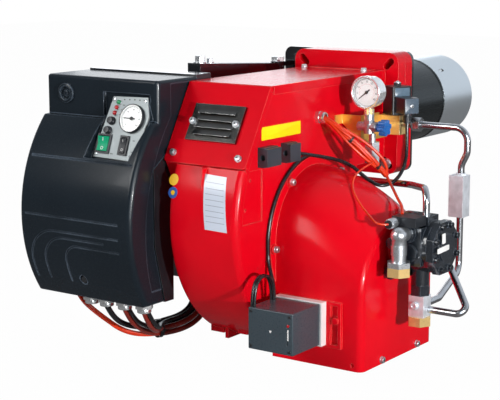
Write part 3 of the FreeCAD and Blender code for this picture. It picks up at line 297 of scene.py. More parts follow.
# Cords
def cord(name, points, diameter, slot, strand="", own=True):
    """Round cord that its route's points pull into smooth bends, all in millimetres."""
    curve = bpy.data.curves.new(name + strand, "CURVE")
    curve.dimensions = "3D"
    spline = curve.splines.new("NURBS")
    spline.points.add(len(points) - 1)
    for point, place in zip(spline.points, points):
        point.co = (*mm(*place), 1)
    spline.order_u = 3
    spline.use_endpoint_u = True
    spline.resolution_u = 8
    curve.bevel_depth = diameter / 2 * MM
    curve.bevel_resolution = 5
    curve.use_fill_caps = True
    curve.materials.append(finish[slot])
    obj = bpy.data.objects.new(name + "_run" + strand, curve)
    root.objects.link(obj)
    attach(obj, "burner")
    if own:
        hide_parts(name)


fan_y, fan_z = -312.0, -185.0
collar_hug, collar_x = 140.45, 89.25


def collar_route():
    """Round the collar from over the intake down to its front, then back to the servomotor's top."""
    first, last, steps = 96.0, 180.0, 6
    step = (last - first) / steps
    points = []
    for k in range(steps + 1):
        at = first + step * (max(k - 0.5, 0))
        r = collar_hug if k == 0 else collar_hug / math.cos(math.radians(step / 2))
        a = math.radians(at)
        points.append((collar_x, fan_y + r * math.cos(a), fan_z + r * math.sin(a)))
    points.append((collar_x, fan_y - collar_hug, fan_z))
    return points + [(collar_x, -452.45, -212), (110, -464, -248), (110, -464, -269)]


def samples(points):
    """Points along the curve that the route's points pull: arcs between the middles of its runs."""
    each = 14
    joints = [Vector(points[0])]
    for a, b in zip(points[1:-2], points[2:-1]):
        joints.append((Vector(a) + Vector(b)) / 2)
    joints.append(Vector(points[-1]))
    line = [joints[0]]
    for start, pull, end in zip(joints, points[1:-1], joints[1:]):
        for k in range(1, each + 1):
            t = k / each
            line.append(start * (1 - t) ** 2 + Vector(pull) * (2 * t * (1 - t)) + end * t * t)
    return line


def frames(line):
    """Along, side and up at each sample, turned no more than the line turns."""
    side = Z
    for k, here in enumerate(line):
        along = (line[min(k + 1, len(line) - 1)] - line[max(k - 1, 0)]).normalized()
        side = (side - along * side.dot(along)).normalized()
        yield here, along, side, along.cross(side)


def strands(name, points, diameter, slot, lobes, twist):
    """Several wires laid side by side in one bundle: a tube whose section has that many lobes."""
    line = samples(points)
    core, sway = 0.68, 2.5 * math.pi
    count = lobes * 10
    rings = []
    for k, (here, along, side, up) in enumerate(frames(line)):
        ring = []
        for i in range(count):
            a = 2 * math.pi * i / count
            r = diameter / 2 * (core + (1 - core) * abs(math.sin(lobes * a / 2)))
            b = a + twist * math.sin(sway * k / len(line))
            ring.append((here + (side * math.cos(b) + up * math.sin(b)) * r) * MM)
        rings.append(ring)
    obj = Build().rings(rings).piece(name + "_run", finish[slot], "burner", slot)
    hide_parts(name)
    return line


def tie(name, line, at, radius, width=3.0):
    """Cable tie: a flat band round the bundle with its lock."""
    here, along, side, up = list(frames(line))[at]
    seat = Seat(here * MM, side, up)
    outer, half = radius + 0.9, width / 2
    band = Build()
    band.turned(seat, [(radius, -half), (outer, -half), (outer, half), (radius, half)], 32, closed=True)
    band.prism(seat.moved(0, radius + 1.6), rectangle(4.2, 4.6), -width * 0.7, width * 0.7, 0.4)
    band.piece(name, tie_black, "burner", "cable_black")


# The frame's nodes: finish from their record slot, four moulded ones apart; curved faces shaded smooth
moulded = {"servo_cover": gunmetal, "connector_blocks": slate, "din_plug": slate,
           "reset_button": finish["cover_black"]}
slot_of = {part["node"]: part["material_slot"] for part in frame["record"]["subparts"]}
for node, obj in frame["nodes"].items():
    for material_slot in obj.material_slots:
        material_slot.material = moulded.get(node, finish[slot_of[node]])
    shade(obj)


# Mesh pieces: rings of points joined by faces, placed on a seat
class Seat:
    """A place on a surface: right and up lie in it, out stands on it. Distances in millimetres."""

    def __init__(self, origin, right, up):
        self.origin = origin
        self.right = right.normalized()
        self.up = up.normalized()
        self.out = self.right.cross(self.up)

    def at(self, x, y, h):
        return self.origin + (self.right * x + self.up * y + self.out * h) * MM

    def moved(self, x, y, h=0.0):
        return Seat(self.at(x, y, h), self.right, self.up)


class Build:
    """Collects closed forms into one mesh."""

    def __init__(self):
        self.points, self.faces = [], []

    def rings(self, rings, closed=False):
        """Skin over rings of equally many points; capped at both ends, or closed into a torus."""
        start, count = len(self.points), len(rings[0])
        for ring in rings:
            self.points.extend(ring)
        pairs = len(rings) if closed else len(rings) - 1
        for k in range(pairs):
            a, b = start + k * count, start + (k + 1) % len(rings) * count
            for i in range(count):
                j = (i + 1) % count
                self.faces.append((a + i, a + j, b + j, b + i))
        if not closed:
            self.faces.append(tuple(start + i for i in reversed(range(count))))
            last = start + (len(rings) - 1) * count
            self.faces.append(tuple(last + i for i in range(count)))
        return self

    def prism(self, seat, outline, low, high, bevel=0.0):
        """Outline of (x, y) points from height low to high, its top edge drawn in by the bevel."""
        levels = [(low, 0.0), (high - bevel, 0.0), (high - bevel * 0.3, bevel * 0.3), (high, bevel)]
        if not bevel:
            levels = [(low, 0.0), (high, 0.0)]
        cx = sum(p[0] for p in outline) / len(outline)
        cy = sum(p[1] for p in outline) / len(outline)
        rings = []
        for height, inset in levels:
            ring = []
            for x, y in outline:
                reach = math.hypot(x - cx, y - cy)
                keep = max(0.05, 1 - inset / reach)
                ring.append(seat.at(cx + (x - cx) * keep, cy + (y - cy) * keep, height))
            rings.append(ring)
        return self.rings(rings)

    def turned(self, seat, profile, steps=40, closed=False, wave=None):
        """Body of revolution about the seat's out axis from (radius, height) pairs."""
        rings = []
        for radius, height in profile:
            ring = []
            for k in range(steps):
                a = 2 * math.pi * k / steps
                r = radius + (wave(k, radius) if wave else 0)
                ring.append(seat.at(r * math.cos(a), r * math.sin(a), height))
            rings.append(ring)
        return self.rings(rings, closed)

    def piece(self, name, material, body, slot):
        mesh = bpy.data.meshes.new(name)
        mesh.from_pydata([tuple(p) for p in self.points], [], self.faces)
        mesh.update()
        mesh.materials.append(material)
        obj = bpy.data.objects.new(name, mesh)
        root.objects.link(obj)
        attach(obj, body)
        shade(obj)
        return obj


def rectangle(w, h, r=0.0):
    """Outline of a w by h rectangle about the origin with rounded corners."""
    corner = 4
    if not r:
        return [(-w / 2, -h / 2), (w / 2, -h / 2), (w / 2, h / 2), (-w / 2, h / 2)]
    points = []
    for k, (sx, sy) in enumerate(((1, -1), (1, 1), (-1, 1), (-1, -1))):
        for i in range(corner + 1):
            a = math.radians(-90 + 90 * k + 90 * i / corner)
            points.append((sx * (w / 2 - r) + r * math.cos(a), sy * (h / 2 - r) + r * math.sin(a)))
    return points


def circle(r, steps, turn=0.0):
    """Outline of a circle, or of a polygon that stands turned by that many degrees."""
    angles = [2 * math.pi * k / steps + math.radians(turn) for k in range(steps)]
    return [(r * math.cos(a), r * math.sin(a)) for a in angles]


def bar(length, width, angle, radius):
    """Outline of a scale mark: a bar at that radius, pointing outward at the angle in degrees."""
    a = math.radians(angle)
    along, across = (math.cos(a), math.sin(a)), (-math.sin(a), math.cos(a))
    points = []
    for s, t in ((0, -0.5), (1, -0.5), (1, 0.5), (0, 0.5)):
        d, e = radius + s * length, t * width
        points.append((along[0] * d + across[0] * e, along[1] * d + across[1] * e))
    return points


def text(name, words, size, seat, x, y, material, body):
    """Flat printed figures, centred on the point."""
    film, lift = 0.03, 0.04
    curve = bpy.data.curves.new(name, "FONT")
    curve.body = words
    curve.size = size * MM
    curve.extrude = film * MM
    curve.align_x = "CENTER"
    curve.align_y = "CENTER"
    curve.materials.append(material)
    obj = bpy.data.objects.new(name, curve)
    root.objects.link(obj)
    matrix = obj.matrix_world.copy()
    for column, axis in enumerate((seat.right, seat.up, seat.out)):
        for row in range(3):
            matrix[row][column] = axis[row]
    place = seat.at(x, y, lift)
    for row in range(3):
        matrix[row][3] = place[row]
    obj.matrix_world = matrix
    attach(obj, body)


def screw_head(build, seat, radius, height):
    """Pan head."""
    profile = [(1, 0), (1, 0.55), (0.86, 0.85), (0.5, 1)]
    build.turned(seat, [(radius * r, height * h) for r, h in profile], 24)


def driver_slot(build, seat, radius, height, width=0.9):
    """Cross slot of a head of that radius and height, as two thin bars standing just proud of the head; given a black
    finish, they are painted shade of the recess.
    """
    arm, low = radius * 1.25, height - 0.3
    build.prism(seat, rectangle(arm, width), low, height + 0.12)
    build.prism(seat, rectangle(width, arm), low, height + 0.13)


def dial_scale(name, seat, body, slot, radius, first, last, count, each, long_mark, short_mark, width, material):
    """Marks round a dial from one angle to another; every few is longer."""
    marks = Build()
    for k in range(count + 1):
        angle = first + (last - first) * k / count
        length = long_mark if k % each == 0 else short_mark
        marks.prism(seat, bar(length, width, angle, radius - length), 0.02, 0.1)
    marks.piece(name, material, body, slot)


def cords():
    """Every cable, hose and wire along its route."""
    cord("collar_cable", collar_route(), 6.5, "cable_black")
    for strand, x in (("_a", 110), ("_b", 115.3)):
        cord("servo_loop", [(x, -473, -269), (x, -474, -241), (x, -489, -223), (x, -513, -223), (x, -528, -241),
                            (x, -529, -269)], 5.0, "cable_black", strand)
    sleeve = strands("sleeve_cable", [(90, -296, 17), (116, -295, 11), (150, -283, -22), (178, -256, -58),
                                      (190, -234, -85)], 11.0, "cable_orange", 4, 0.9)
    cord("sleeve_cable", [(120, -294, 6), (149, -278, -10), (182, -250, -43), (194, -236, -70), (190, -235, -84)],
         5.4, "cable_orange", "_upper", own=False)
    cord("sleeve_cable", [(112, -297, 9), (128, -295, -6), (149, -287, -30), (174, -262, -62), (190, -235, -84)],
         5.4, "cable_orange", "_lower", own=False)
    tie("sleeve_tie", sleeve, 20, 5.4)
    tie("sleeve_end_tie", sleeve, 37, 5.4)
    cord("pump_wire", [(190, -234, -85), (214, -252, -104), (246, -292, -113), (276, -330, -117),
                       (284, -346, -125.5)], 5.0, "cable_orange")
    cord("valve_cable", [(98, -379, -36), (112, -318, -47), (132, -262, -65), (148, -236, -92), (161, -206, -112),
                         (185, -190, -102), (186, -158, -74), (181, -146, -36), (179.18, -144, -3)],
         6.5, "cable_black")
    cord("thermo_wire", [(178, -256, -58), (172, -280, -66), (176, -314, -72), (181, -334, -83), (193, -352, -95),
                         (219, -372, -112), (250, -394, -125), (276, -412, -134.5), (286, -396, -134.5)],
         3.5, "cable_orange")
    strands("box_cable_red", [(-302, -502, -293), (-290, -502, -318), (-243, -500, -344), (-197, -488, -371),
                              (-163, -448, -379), (-137, -385, -373), (-137, -334, -345), (-137, -334, -291)],
            10.0, "cable_orange", 3, 0.7)
    middle = [Vector((-158, -458, -365)), Vector((-153, -445, -366)), Vector((-148, -432, -366))]
    tie("bundle_tie", middle, 1, 16, 7.0)
    cord("box_cable_black", [(-188, -544, -308), (-187, -528, -336), (-176, -494, -356), (-162, -446, -366),
                             (-137, -390.5, -360), (-137, -345, -334), (-137, -345, -291)], 10.0, "cable_black")
    for strand, dx, start, run in (("_c", 0, -95.5, 254), ("_d", -8, -138, 246)):
        cord("box_cable_black", [(start, -544, -306), (start, -528, -332), ((start - 127 + dx) / 2, -490, -351),
                                 (-146 + dx * 1.5, -450, -354), (-131 + dx, -388, -349), (-131 + dx, -357, -325),
                                 (-131 + dx, -357, -291)], 7.0, "cable_black", strand, own=False)
    cord("box_cable_brown", [(-147, -544, -308), (-149, -526, -336), (-150, -490, -360), (-149, -446, -377),
                             (-124, -385, -371), (-124, -334, -345), (-124, -334, -291)], 10.0, "cable_red")
    cord("box_cable_orange", [(-104, -544, -308), (-105, -530, -334), (-122, -490, -357), (-149, -446, -366),
                              (-124, -390.5, -360), (-124, -345, -334), (-124, -345, -291)], 10.0, "cable_red")


# Control panel: sloping silver sheet, its lamps, caps, dial and keys
panel_slope, panel_y = 0.36, -551
sheet_face = 0.5
dial_x, dial_z = -124, 23
power_x, stage_x, keys_z = -175, -131, -21
panel_out = Vector((0, -1, panel_slope)).normalized()
panel_up = Vector((0, panel_slope, 1)).normalized()


def panel_seat(x, z, lift=sheet_face):
    """Seat over the panel's plane, on the sheet's face unless another lift is given."""
    return Seat(mm(x, panel_y + panel_slope * z, z) + panel_out * (lift * MM), X, panel_up)


def control_panel():
    lamps = ((-160, 48, green_lamp, "green_lens"), (-162, 39, red_lamp, "button_red"),
             (-164, 30, red_lamp, "button_red"))
    rims = Build()
    for k, (x, z, material, slot) in enumerate(lamps):
        seat = panel_seat(x, z)
        dome = [(3.55, 0), (3.55, 3.6), (3.2, 4.5), (2.3, 5.2), (0.9, 5.6)]
        Build().turned(seat, dome, 24).piece("lamp_lens_%d" % k, material, "burner", slot)
        rims.turned(seat, [(3.7, 0.02), (4.7, 0.02), (4.7, 0.9), (4.2, 1.4), (3.7, 0.9)], 24, closed=True)
    rims.piece("lamp_rims", zinc, "burner", "gauge_chrome")
    caps = Build()
    slots = Build()
    for x, z in ((-168, 17), (-171, 1)):
        seat = panel_seat(x, z)
        caps.turned(seat, [(7.3, 0), (7.3, 2.2), (6.8, 3.1), (6.0, 3.2)], 36)
        caps.turned(seat, [(5.7, 2.9), (5.7, 7.0), (5.2, 7.8), (3.6, 8.0)], 48, wave=lambda k, r: 0.3 * (k % 4 < 2))
        slots.prism(seat, rectangle(7.6, 1.5), 7.7, 8.08)
    caps.piece("fuse_caps", finish["plastic_black"], "burner", "plastic_black")
    # The caps' slots are black bars: painted shade of the recess
    slots.piece("fuse_cap_slots", black_print_and_recess_shade, "burner", "needle_black")
    marks = Build()
    for x, z, w, h in ((-150, 53, 3, 2), (-139, 53.5, 3, 2), (-128, 54, 3, 2), (-117, 54, 3, 2), (-149, 44, 5, 1.2),
                       (-151, 36, 5, 1.2), (-153, 28, 5, 1.2), (-154, -36, 6, 1.2),
                       (-112, -12, 5, 1.2), (-112, -30, 4, 1.2)):
        marks.prism(panel_seat(x, z), rectangle(w, h), 0.01, 0.1)
    marks.piece("panel_marks", black_print_and_recess_shade, "burner", "needle_black")
    heads, gaps = Build(), Build()
    for x, z in ((-188, -37), (-111, -38), (-172, 53), (-105, 53)):
        seat = panel_seat(x, z)
        screw_head(heads, seat, 3.4, 1.9)
        driver_slot(gaps, seat, 3.4, 1.9)
    heads.piece("panel_screws", zinc, "burner", "bright_zinc")
    # The screws' cross slots are black bars: painted shade of the recess
    gaps.piece("panel_screw_slots", black_print_and_recess_shade, "burner", "needle_black")


def panel_dial():
    seat = panel_seat(dial_x, dial_z, 2.5)
    disc = [(23.4, 0.02), (23.4, 0.12), (2.4, 0.12), (2.4, 0.02)]
    Build().turned(seat, disc, 64, closed=True).piece("panel_dial_face", finish["dial_white"], "burner", "dial_white")
    face = seat.moved(0, 0, 0.12)
    dial_scale("panel_dial_marks", face, "burner", "needle_black", 21.6, 225, -45, 60, 5, 3.0, 1.7, 0.4, black_print_and_recess_shade)
    ring = [(21.8, 0.01), (22.1, 0.01), (22.1, 0.1), (21.8, 0.1)]
    Build().turned(face, ring, 64, closed=True).piece("panel_dial_rule", black_print_and_recess_shade, "burner", "needle_black")
    for k in range(7):
        a = math.radians(225 - 45 * k)
        text("panel_dial_figure_%d" % k, str(20 * k), 3.8, face, 15.4 * math.cos(a), 15.4 * math.sin(a), black_print_and_recess_shade,
             "burner")
    bezel = [(23.4, 0), (23.4, 3.4), (23.8, 4.2), (24.6, 4.0), (25.0, 3.0), (25.0, -2.0), (24.4, -2.0)]
    Build().turned(seat, bezel, 64, closed=True).piece(
        "panel_dial_bezel", finish["plastic_black"], "burner", "plastic_black")
    dome = [(23.3, 3.3), (23.3, 3.9), (14, 4.6), (7, 4.95), (1, 5.0)]
    Build().turned(seat, dome, 64).piece("panel_dial_window", glass, "burner", "dial_white")


def key_seat(x, side):
    """Seat on a key's upper (1) or lower (-1) flat: the key is a shallow V, tipped outward at its top."""
    tip, hollow = math.radians(6), math.atan2(2.1, 12.5)
    pivot_lift, valley_depth, mark_reach = 1.2, 2.4, 7.6
    base = panel_seat(x, keys_z, 0)
    lean = tip + side * hollow
    valley = base.at(0, -valley_depth * math.sin(tip), pivot_lift + valley_depth * math.cos(tip))
    return Seat(valley, X, base.up * math.cos(lean) + base.out * math.sin(lean)).moved(0, side * mark_reach)


def key_marks():
    """The plain I and O of the switch, and the same of the second one; they ride on their keys."""
    for body, x, size in (("power_key", power_x, 1.0), ("stage_key", stage_x, 0.72)):
        marks = Build()
        marks.prism(key_seat(x, 1), rectangle(1.3 * size, 5.8 * size), -0.3, 0.12)
        ring = [(2.0 * size, -0.3), (3.0 * size, -0.3), (3.0 * size, 0.12), (2.0 * size, 0.12)]
        marks.turned(key_seat(x, -1), ring, 24, closed=True)
        marks.piece(body + "_marks", print_white, body, "dial_white")


def cover_details():
    """Screw sunk in the cover's lower front and the pressed ring round the reset button."""
    seat = Seat(mm(-203, -584, -256), X, Z)
    heads, gaps = Build(), Build()
    heads.turned(seat, [(6.4, -8), (6.4, 0.5), (5.6, 1.6), (3.4, 2.0)], 28)
    gaps.prism(seat, rectangle(8, 1.4), 1.7, 2.1)
    gaps.prism(seat, rectangle(1.4, 8), 1.7, 2.12)
    heads.piece("cover_screw", finish["plastic_black"], "burner", "plastic_black")
    # The cross slot is black: painted shade of the recess
    gaps.piece("cover_screw_slots", black_print_and_recess_shade, "burner", "needle_black")
    seat = Seat(mm(-283, -534, 57), X, Z)
    ring = [(10.8, -3), (10.8, 0.3), (12.2, 1.6), (14.6, 1.7), (17.2, 0.2), (17.2, -3)]
    Build().turned(seat, ring, 56, closed=True).piece("reset_collar", finish["cover_black"], "burner", "cover_black")
    seat = Seat(mm(-283, -532, 57), X, Z)
    cap = [(4.9, -4), (4.9, 0.4), (4.2, 1.2), (2.4, 1.7), (0.6, 1.8)]
    Build().turned(seat, cap, 32).piece("reset_cap", finish["cover_black"], "reset", "button_red")


# Pressure gauge: white face, two scales, window, rim and nut
def gauge():
    seat = Seat(mm(148, -234, 58), X, Z)
    face = [(25.3, 0.05), (25.3, 0.2), (1.5, 0.2), (1.5, 0.05)]
    Build().turned(seat, face, 64, closed=True).piece("gauge_face", finish["dial_white"], "burner", "dial_white")
    face = seat.moved(0, 0, 0.2)
    dial_scale("gauge_marks", face, "burner", "needle_black", 23.6, 218, -38, 40, 5, 3.6, 2.0, 0.5, black_print_and_recess_shade)
    dial_scale("gauge_marks_red", face, "burner", "button_red", 15.4, 218, -38, 24, 3, 2.2, 1.3, 0.45, print_red)
    ring = [(23.6, 0.01), (24.1, 0.01), (24.1, 0.1), (23.6, 0.1)]
    Build().turned(face, ring, 64, closed=True).piece("gauge_rule", black_print_and_recess_shade, "burner", "needle_black")
    for k in range(9):
        a = math.radians(218 - 32 * k)
        text("gauge_figure_%d" % k, str(5 * k), 4.2, face, 18.4 * math.cos(a), 18.4 * math.sin(a), black_print_and_recess_shade,
             "burner")
    dome = [(25.3, 3.2), (25.3, 4.0), (18, 4.9), (9, 5.5), (1, 5.6)]
    Build().turned(seat, dome, 64).piece("gauge_window", glass, "burner", "dial_white")
    rim = [(25.4, 3.0), (25.4, 6.2), (26.2, 7.0), (28.0, 6.9), (29.15, 5.6), (29.15, 2.0)]
    Build().turned(seat, rim, 72, closed=True).piece("gauge_rim", finish["gauge_chrome"], "burner", "gauge_chrome")
    neck = Seat(mm(148, -225, 18.5), X, Y)
    Build().prism(neck, circle(9.0, 6, 30), 0.2, 10.2, 0.8).piece("gauge_nut", finish["brass"], "burner", "brass")


# Nose of the blast tube: the screw that holds it and the end of its slot
def nose_screw():
    a = math.radians(46)
    screw_y, nose_r = 213, 83.3
    out = Vector((math.cos(a), 0, math.sin(a)))
    seat = Seat(mm(0, screw_y, 0) + out * (nose_r * MM), Y, out.cross(Y))
    slot, head = Build(), Build()
    slot.prism(seat.moved(7, 0), [(x * 1.6, y) for x, y in circle(3.6, 24)], 0, 0.5, 0.1)
    screw_head(head, seat, 3.4, 2.2)
    # The slot's end is a black film on the tube: painted shade of the opening
    slot.piece("nose_slot", black_print_and_recess_shade, "boiler_side", "needle_black")
    head.piece("nose_screw", zinc, "boiler_side", "bright_zinc")


# Casing screws: crowned heads with their cross slots
def casing_screws():
    head_height = 5.6
    sheet_lift, grille_lift = 2.5, 7.5
    ear_reach, ear_x = 128.0, 96
    top, foot = mm(0, -441, 80), mm(0, -514, -46)
    down = (foot - top).normalized()
    low = (foot - top).length / MM - 14
    places = []
    for x, v, lift in ((-64, low, sheet_lift), (70, low, sheet_lift), (-41, 74, grille_lift), (48, 74, grille_lift)):
        places.append(Seat(top + X * (x * MM) + down * (v * MM), X, -down).moved(0, 0, lift))
    for x, y in ((-66, -104), (68, -110)):
        places.append(Seat(mm(x, y, 82), X, Y))
    for angle in (128, 183, 52):
        a = math.radians(angle)
        places.append(Seat(mm(ear_x, fan_y + ear_reach * math.cos(a), fan_z + ear_reach * math.sin(a)), Y, Z))
    for y in (-369, -248):
        places.append(Seat(mm(262, y, -372), Y, Z))
    crowns, gaps = Build(), Build()
    for place in places:
        head = place.moved(0, 0, head_height)
        crowns.turned(head, [(4.6, -0.4), (4.6, 0.1), (3.9, 0.7), (2.2, 0.9)], 24)
        driver_slot(gaps, head.moved(0, 0, -0.3), 4.0, 1.2, 1.1)
    crowns.piece("screw_crowns", zinc, "burner", "bright_zinc")
    # The crosses are black bars: painted shade of the recesses
    gaps.piece("screw_crosses", black_print_and_recess_shade, "burner", "needle_black")


# Labels: bare films on the casing
scroll_y, scroll_z, scroll_r = -300.0, -145.0, 238.0


def on_scroll(x, z, lift):
    """Point over the scroll's rounded front."""
    reach = scroll_r + lift
    return mm(x, scroll_y - math.sqrt(reach * reach - (z - scroll_z) ** 2), z)


def between(corners, u, v):
    """Point at u across and v down between four (x, z) corners: top left, top right, bottom left, bottom right."""
    tl, tr, bl, br = corners
    top = [tl[i] + (tr[i] - tl[i]) * u for i in (0, 1)]
    low = [bl[i] + (br[i] - bl[i]) * u for i in (0, 1)]
    return [top[i] + (low[i] - top[i]) * v for i in (0, 1)]


def bent_label(name, corners, low, high, material, slot):
    """Film that follows the scroll between its four corners."""
    rows = 14
    rings = []
    for k in range(rows + 1):
        left, right = between(corners, 0, k / rows), between(corners, 1, k / rows)
        ring = [on_scroll(*left, low), on_scroll(*right, low), on_scroll(*right, high), on_scroll(*left, high)]
        rings.append(ring)
    Build().rings(rings).piece(name, material, "burner", slot)


def labels():
    plate = ((12, -60), (56, -62), (22, -150), (67, -151))
    bent_label("data_plate", plate, 0.05, 0.4, label_pale, "dial_white")
    rules = Build()
    for v in (0.13, 0.24, 0.34, 0.44, 0.54, 0.64, 0.74, 0.84):
        a, b = between(plate, 0.08, v), between(plate, 0.92, v)
        c, d = between(plate, 0.92, v + 0.008), between(plate, 0.08, v + 0.008)
        low = [on_scroll(*p, 0.35) for p in (a, b, c, d)]
        high = [on_scroll(*p, 0.46) for p in (a, b, c, d)]
        rules.rings([low, high])
    rules.piece("data_plate_rules", label_rule, "burner", "needle_black")
    stickers = (("sticker_yellow", -50, -75, 9.5, 0.3, sticker_yellow, "yellow_zinc"),
                ("sticker_blue", -48, -96, 9.5, 0.3, label_blue, "knob_blue"),
                ("sticker_blue_centre", -48, -96, 4.0, 0.5, sticker_yellow, "yellow_zinc"))
    for name, x, z, r, lift, material, slot in stickers:
        low = [on_scroll(x + a, z + b, 0.02) for a, b in circle(r, 28)]
        high = [on_scroll(x + a, z + b, lift) for a, b in circle(r, 28)]
        Build().rings([low, high]).piece(name, material, "burner", slot)
    side = Seat(mm(86, -408.5, 5), Y, Z)
    Build().prism(side, rectangle(117, 22, 1.5), 0.02, 0.35, 0.1).piece(
        "side_label", label_yellow, "burner", "yellow_zinc")


# Servomotor: bare marks and screws of its dark cover
def servo():
    front = Seat(mm(150, -534, -304), X, Z)
    marks = Build()
    marks.prism(front, [(-2.6, 1.6), (0, -3.0), (2.6, 1.6)], -0.1, 0.15)
    marks.prism(front.moved(34, -1), rectangle(2.4, 18), -0.2, 0.12)
    marks.piece("servo_marks", print_white, "burner", "dial_white")
    # The red dot glows faintly: painted light
    Build().turned(front.moved(34, 14), [(2.6, -0.3), (2.6, 0.3), (1.6, 0.8)], 20).piece(
        "servo_dot", red_lamp, "burner", "button_red")
    heads, gaps = Build(), Build()
    for x, z in ((-38, 29), (37, 29), (-38, -29), (37, -29)):
        seat = front.moved(x, z, -0.1)
        screw_head(heads, seat, 2.6, 1.2)
        driver_slot(gaps, seat, 2.6, 1.2, 0.7)
    heads.piece("servo_screws", finish["plastic_black"], "burner", "plastic_black")
    # The cross slots are black bars: painted shade of the recesses
    gaps.piece("servo_screw_slots", black_print_and_recess_shade, "burner", "needle_black")


# Valve group: plug lid with its screw, coil plate, coil nut and the plug's ribbed gland
plug_turn = math.radians(60)
coil_at = mm(148, -126, 10)


def valve_group():
    out = Vector((math.sin(plug_turn), -math.cos(plug_turn), 0))
    right = Vector((math.cos(plug_turn), math.sin(plug_turn), 0))
    plug_face, lid_up = 51, 19
    coil_face, plate_up, coil_top = 18, 41, 57
    gland_reach, gland_foot = 36, -13.2
    seat = Seat(coil_at + out * (plug_face * MM) + Z * (lid_up * MM), right, Z)
    Build().prism(seat, rectangle(27.4, 26.4, 2.0), 0.02, 1.0, 0.5).piece(
        "plug_lid", face_blue, "burner", "plastic_black")
    front = Seat(coil_at + out * (coil_face * MM) + Z * (plate_up * MM), right, Z)
    Build().prism(front, rectangle(30, 15, 1.2), 0.02, 0.6, 0.2).piece(
        "coil_plate", plate_slate, "burner", "plastic_black")
    heads, gaps = Build(), Build()
    lid = seat.moved(0, 0, 0.9)
    screw_head(heads, lid, 3.6, 1.8)
    driver_slot(gaps, lid, 3.6, 1.8)
    heads.piece("plug_screw", zinc, "burner", "bright_zinc")
    # The cross slot is black bars: painted shade of the recess
    gaps.piece("plug_screw_slots", black_print_and_recess_shade, "burner", "needle_black")
    below = Seat(coil_at + out * (gland_reach * MM) + Z * (gland_foot * MM), X, Y)
    nut = [(4, 0), (6.0, 0.4), (7.3, 2.0), (7.3, 12.5), (6.6, 13.4)]
    Build().turned(below, nut, 36, wave=lambda k, r: -0.45 * (k % 3 == 0)).piece(
        "plug_gland", finish["plastic_black"], "burner", "plastic_black")
    top = Seat(coil_at + Z * (coil_top * MM), X, Y)
    Build().turned(top, [(6.4, -3.4), (6.4, 0.3), (5.4, 0.9), (3.6, 0.9), (3.0, 2.4), (1.6, 3.0)], 30).piece(
        "coil_cap", zinc, "burner", "bright_zinc")


# Glands: ribbed cap nuts round each cable under the control box and at the casing side
def glands():
    gland_y, gland_z, blank_x = -544, -293, -222
    caps = Build()
    for x in (blank_x, -188, -147, -104):
        seat = Seat(mm(x, gland_y, gland_z), X, -Y)
        profile = [(5.1, 15.4), (11.2, 15.4), (12.2, 14.4), (12.5, 9.0), (12.1, 7.9), (5.1, 7.9)]
        caps.turned(seat, profile, 48, closed=True, wave=lambda k, r: -0.5 * (k % 4 == 0) * (r > 9))
    blank = [(5.6, 12), (5.6, 15.2), (4.4, 16.2), (1.2, 16.6)]
    caps.turned(Seat(mm(blank_x, gland_y, gland_z), X, -Y), blank, 32)
    caps.piece("gland_caps", finish["gland_metal"], "burner", "gland_metal")
    seat = Seat(mm(86, -296, 17), Y, Z)
    nut = [(6.3, 7), (9.4, 7), (10.0, 8.0), (10.0, 14.0), (9.0, 16.6), (6.3, 16.6)]
    Build().turned(seat, nut, 48, closed=True, wave=lambda k, r: -0.4 * (k % 4 == 0) * (r > 8)).piece(
        "side_gland_cap", finish["gland_metal"], "burner", "gland_metal")


# Pump: socket screws and plates of its cover, plug of the return block, knurled nut of the thermal wire
def pump():
    pump_z, cover_x, screw_circle = -180, 347, 39
    heads, sockets = Build(), Build()
    for k in range(8):
        a = math.radians(45 * k + 22.5)
        seat = Seat(mm(cover_x, fan_y + screw_circle * math.cos(a), pump_z + screw_circle * math.sin(a)), Y, Z)
        heads.turned(seat, [(4.9, -0.5), (4.9, 5.2), (4.3, 6.0)], 24)
        sockets.prism(seat, circle(2.3, 6), 5.6, 6.1)
    heads.piece("pump_screws", finish["pump_black"], "burner", "pump_black")
    # The hex sockets are black films: painted shade of the recesses
    sockets.piece("pump_screw_sockets", black_print_and_recess_shade, "burner", "needle_black")
    plates = Build()
    for y, z, w, h, turn in ((-327, -162, 11, 17, 4), (-328, -179.5, 40, 9, 2)):
        a = math.radians(turn)
        lie = Seat(mm(cover_x, y, z), Y * math.cos(a) + Z * math.sin(a), Z * math.cos(a) - Y * math.sin(a))
        plates.prism(lie, rectangle(w, h, 2), 4.2, 5.4, 0.4)
    plates.piece("pump_plates", print_white, "burner", "pump_black")
    plug = Seat(mm(302, -334, -281), X, Z)
    Build().turned(plug, [(6.6, -2), (6.6, 0.4), (5.6, 1.2), (3.4, 1.2), (3.2, 0.2), (0.6, 0.2)], 32).piece(
        "return_plug", finish["cast_aluminium"], "burner", "cast_aluminium")
    nut = Seat(mm(286, -378, -134.5), X, Z)
    Build().turned(nut, [(5, -1), (8.2, -1), (8.4, 0.5), (8.4, 15), (7.6, 16.5), (4.6, 17.2)], 48,
                   wave=lambda k, r: 0.35 * (k % 4 < 2) * (r > 8)).piece("knurled_nut", zinc, "burner", "bright_zinc")


cords()
control_panel()
panel_dial()
key_marks()
cover_details()
gauge()
nose_screw()
casing_screws()
labels()
servo()
valve_group()
glands()
pump()

# Studio: pale floor, white background, soft lamps
floor_gap, half = 0.02, 8.0
floor_z = cad_box[0][2] - floor_gap
ground = bpy.data.meshes.new("floor")
ground.from_pydata([(-half, -half, floor_z), (half, -half, floor_z), (half, half, floor_z), (-half, half, floor_z)],
                   [], [(0, 1, 2, 3)])
floor = bpy.data.objects.new("floor", ground)
root.objects.link(floor)


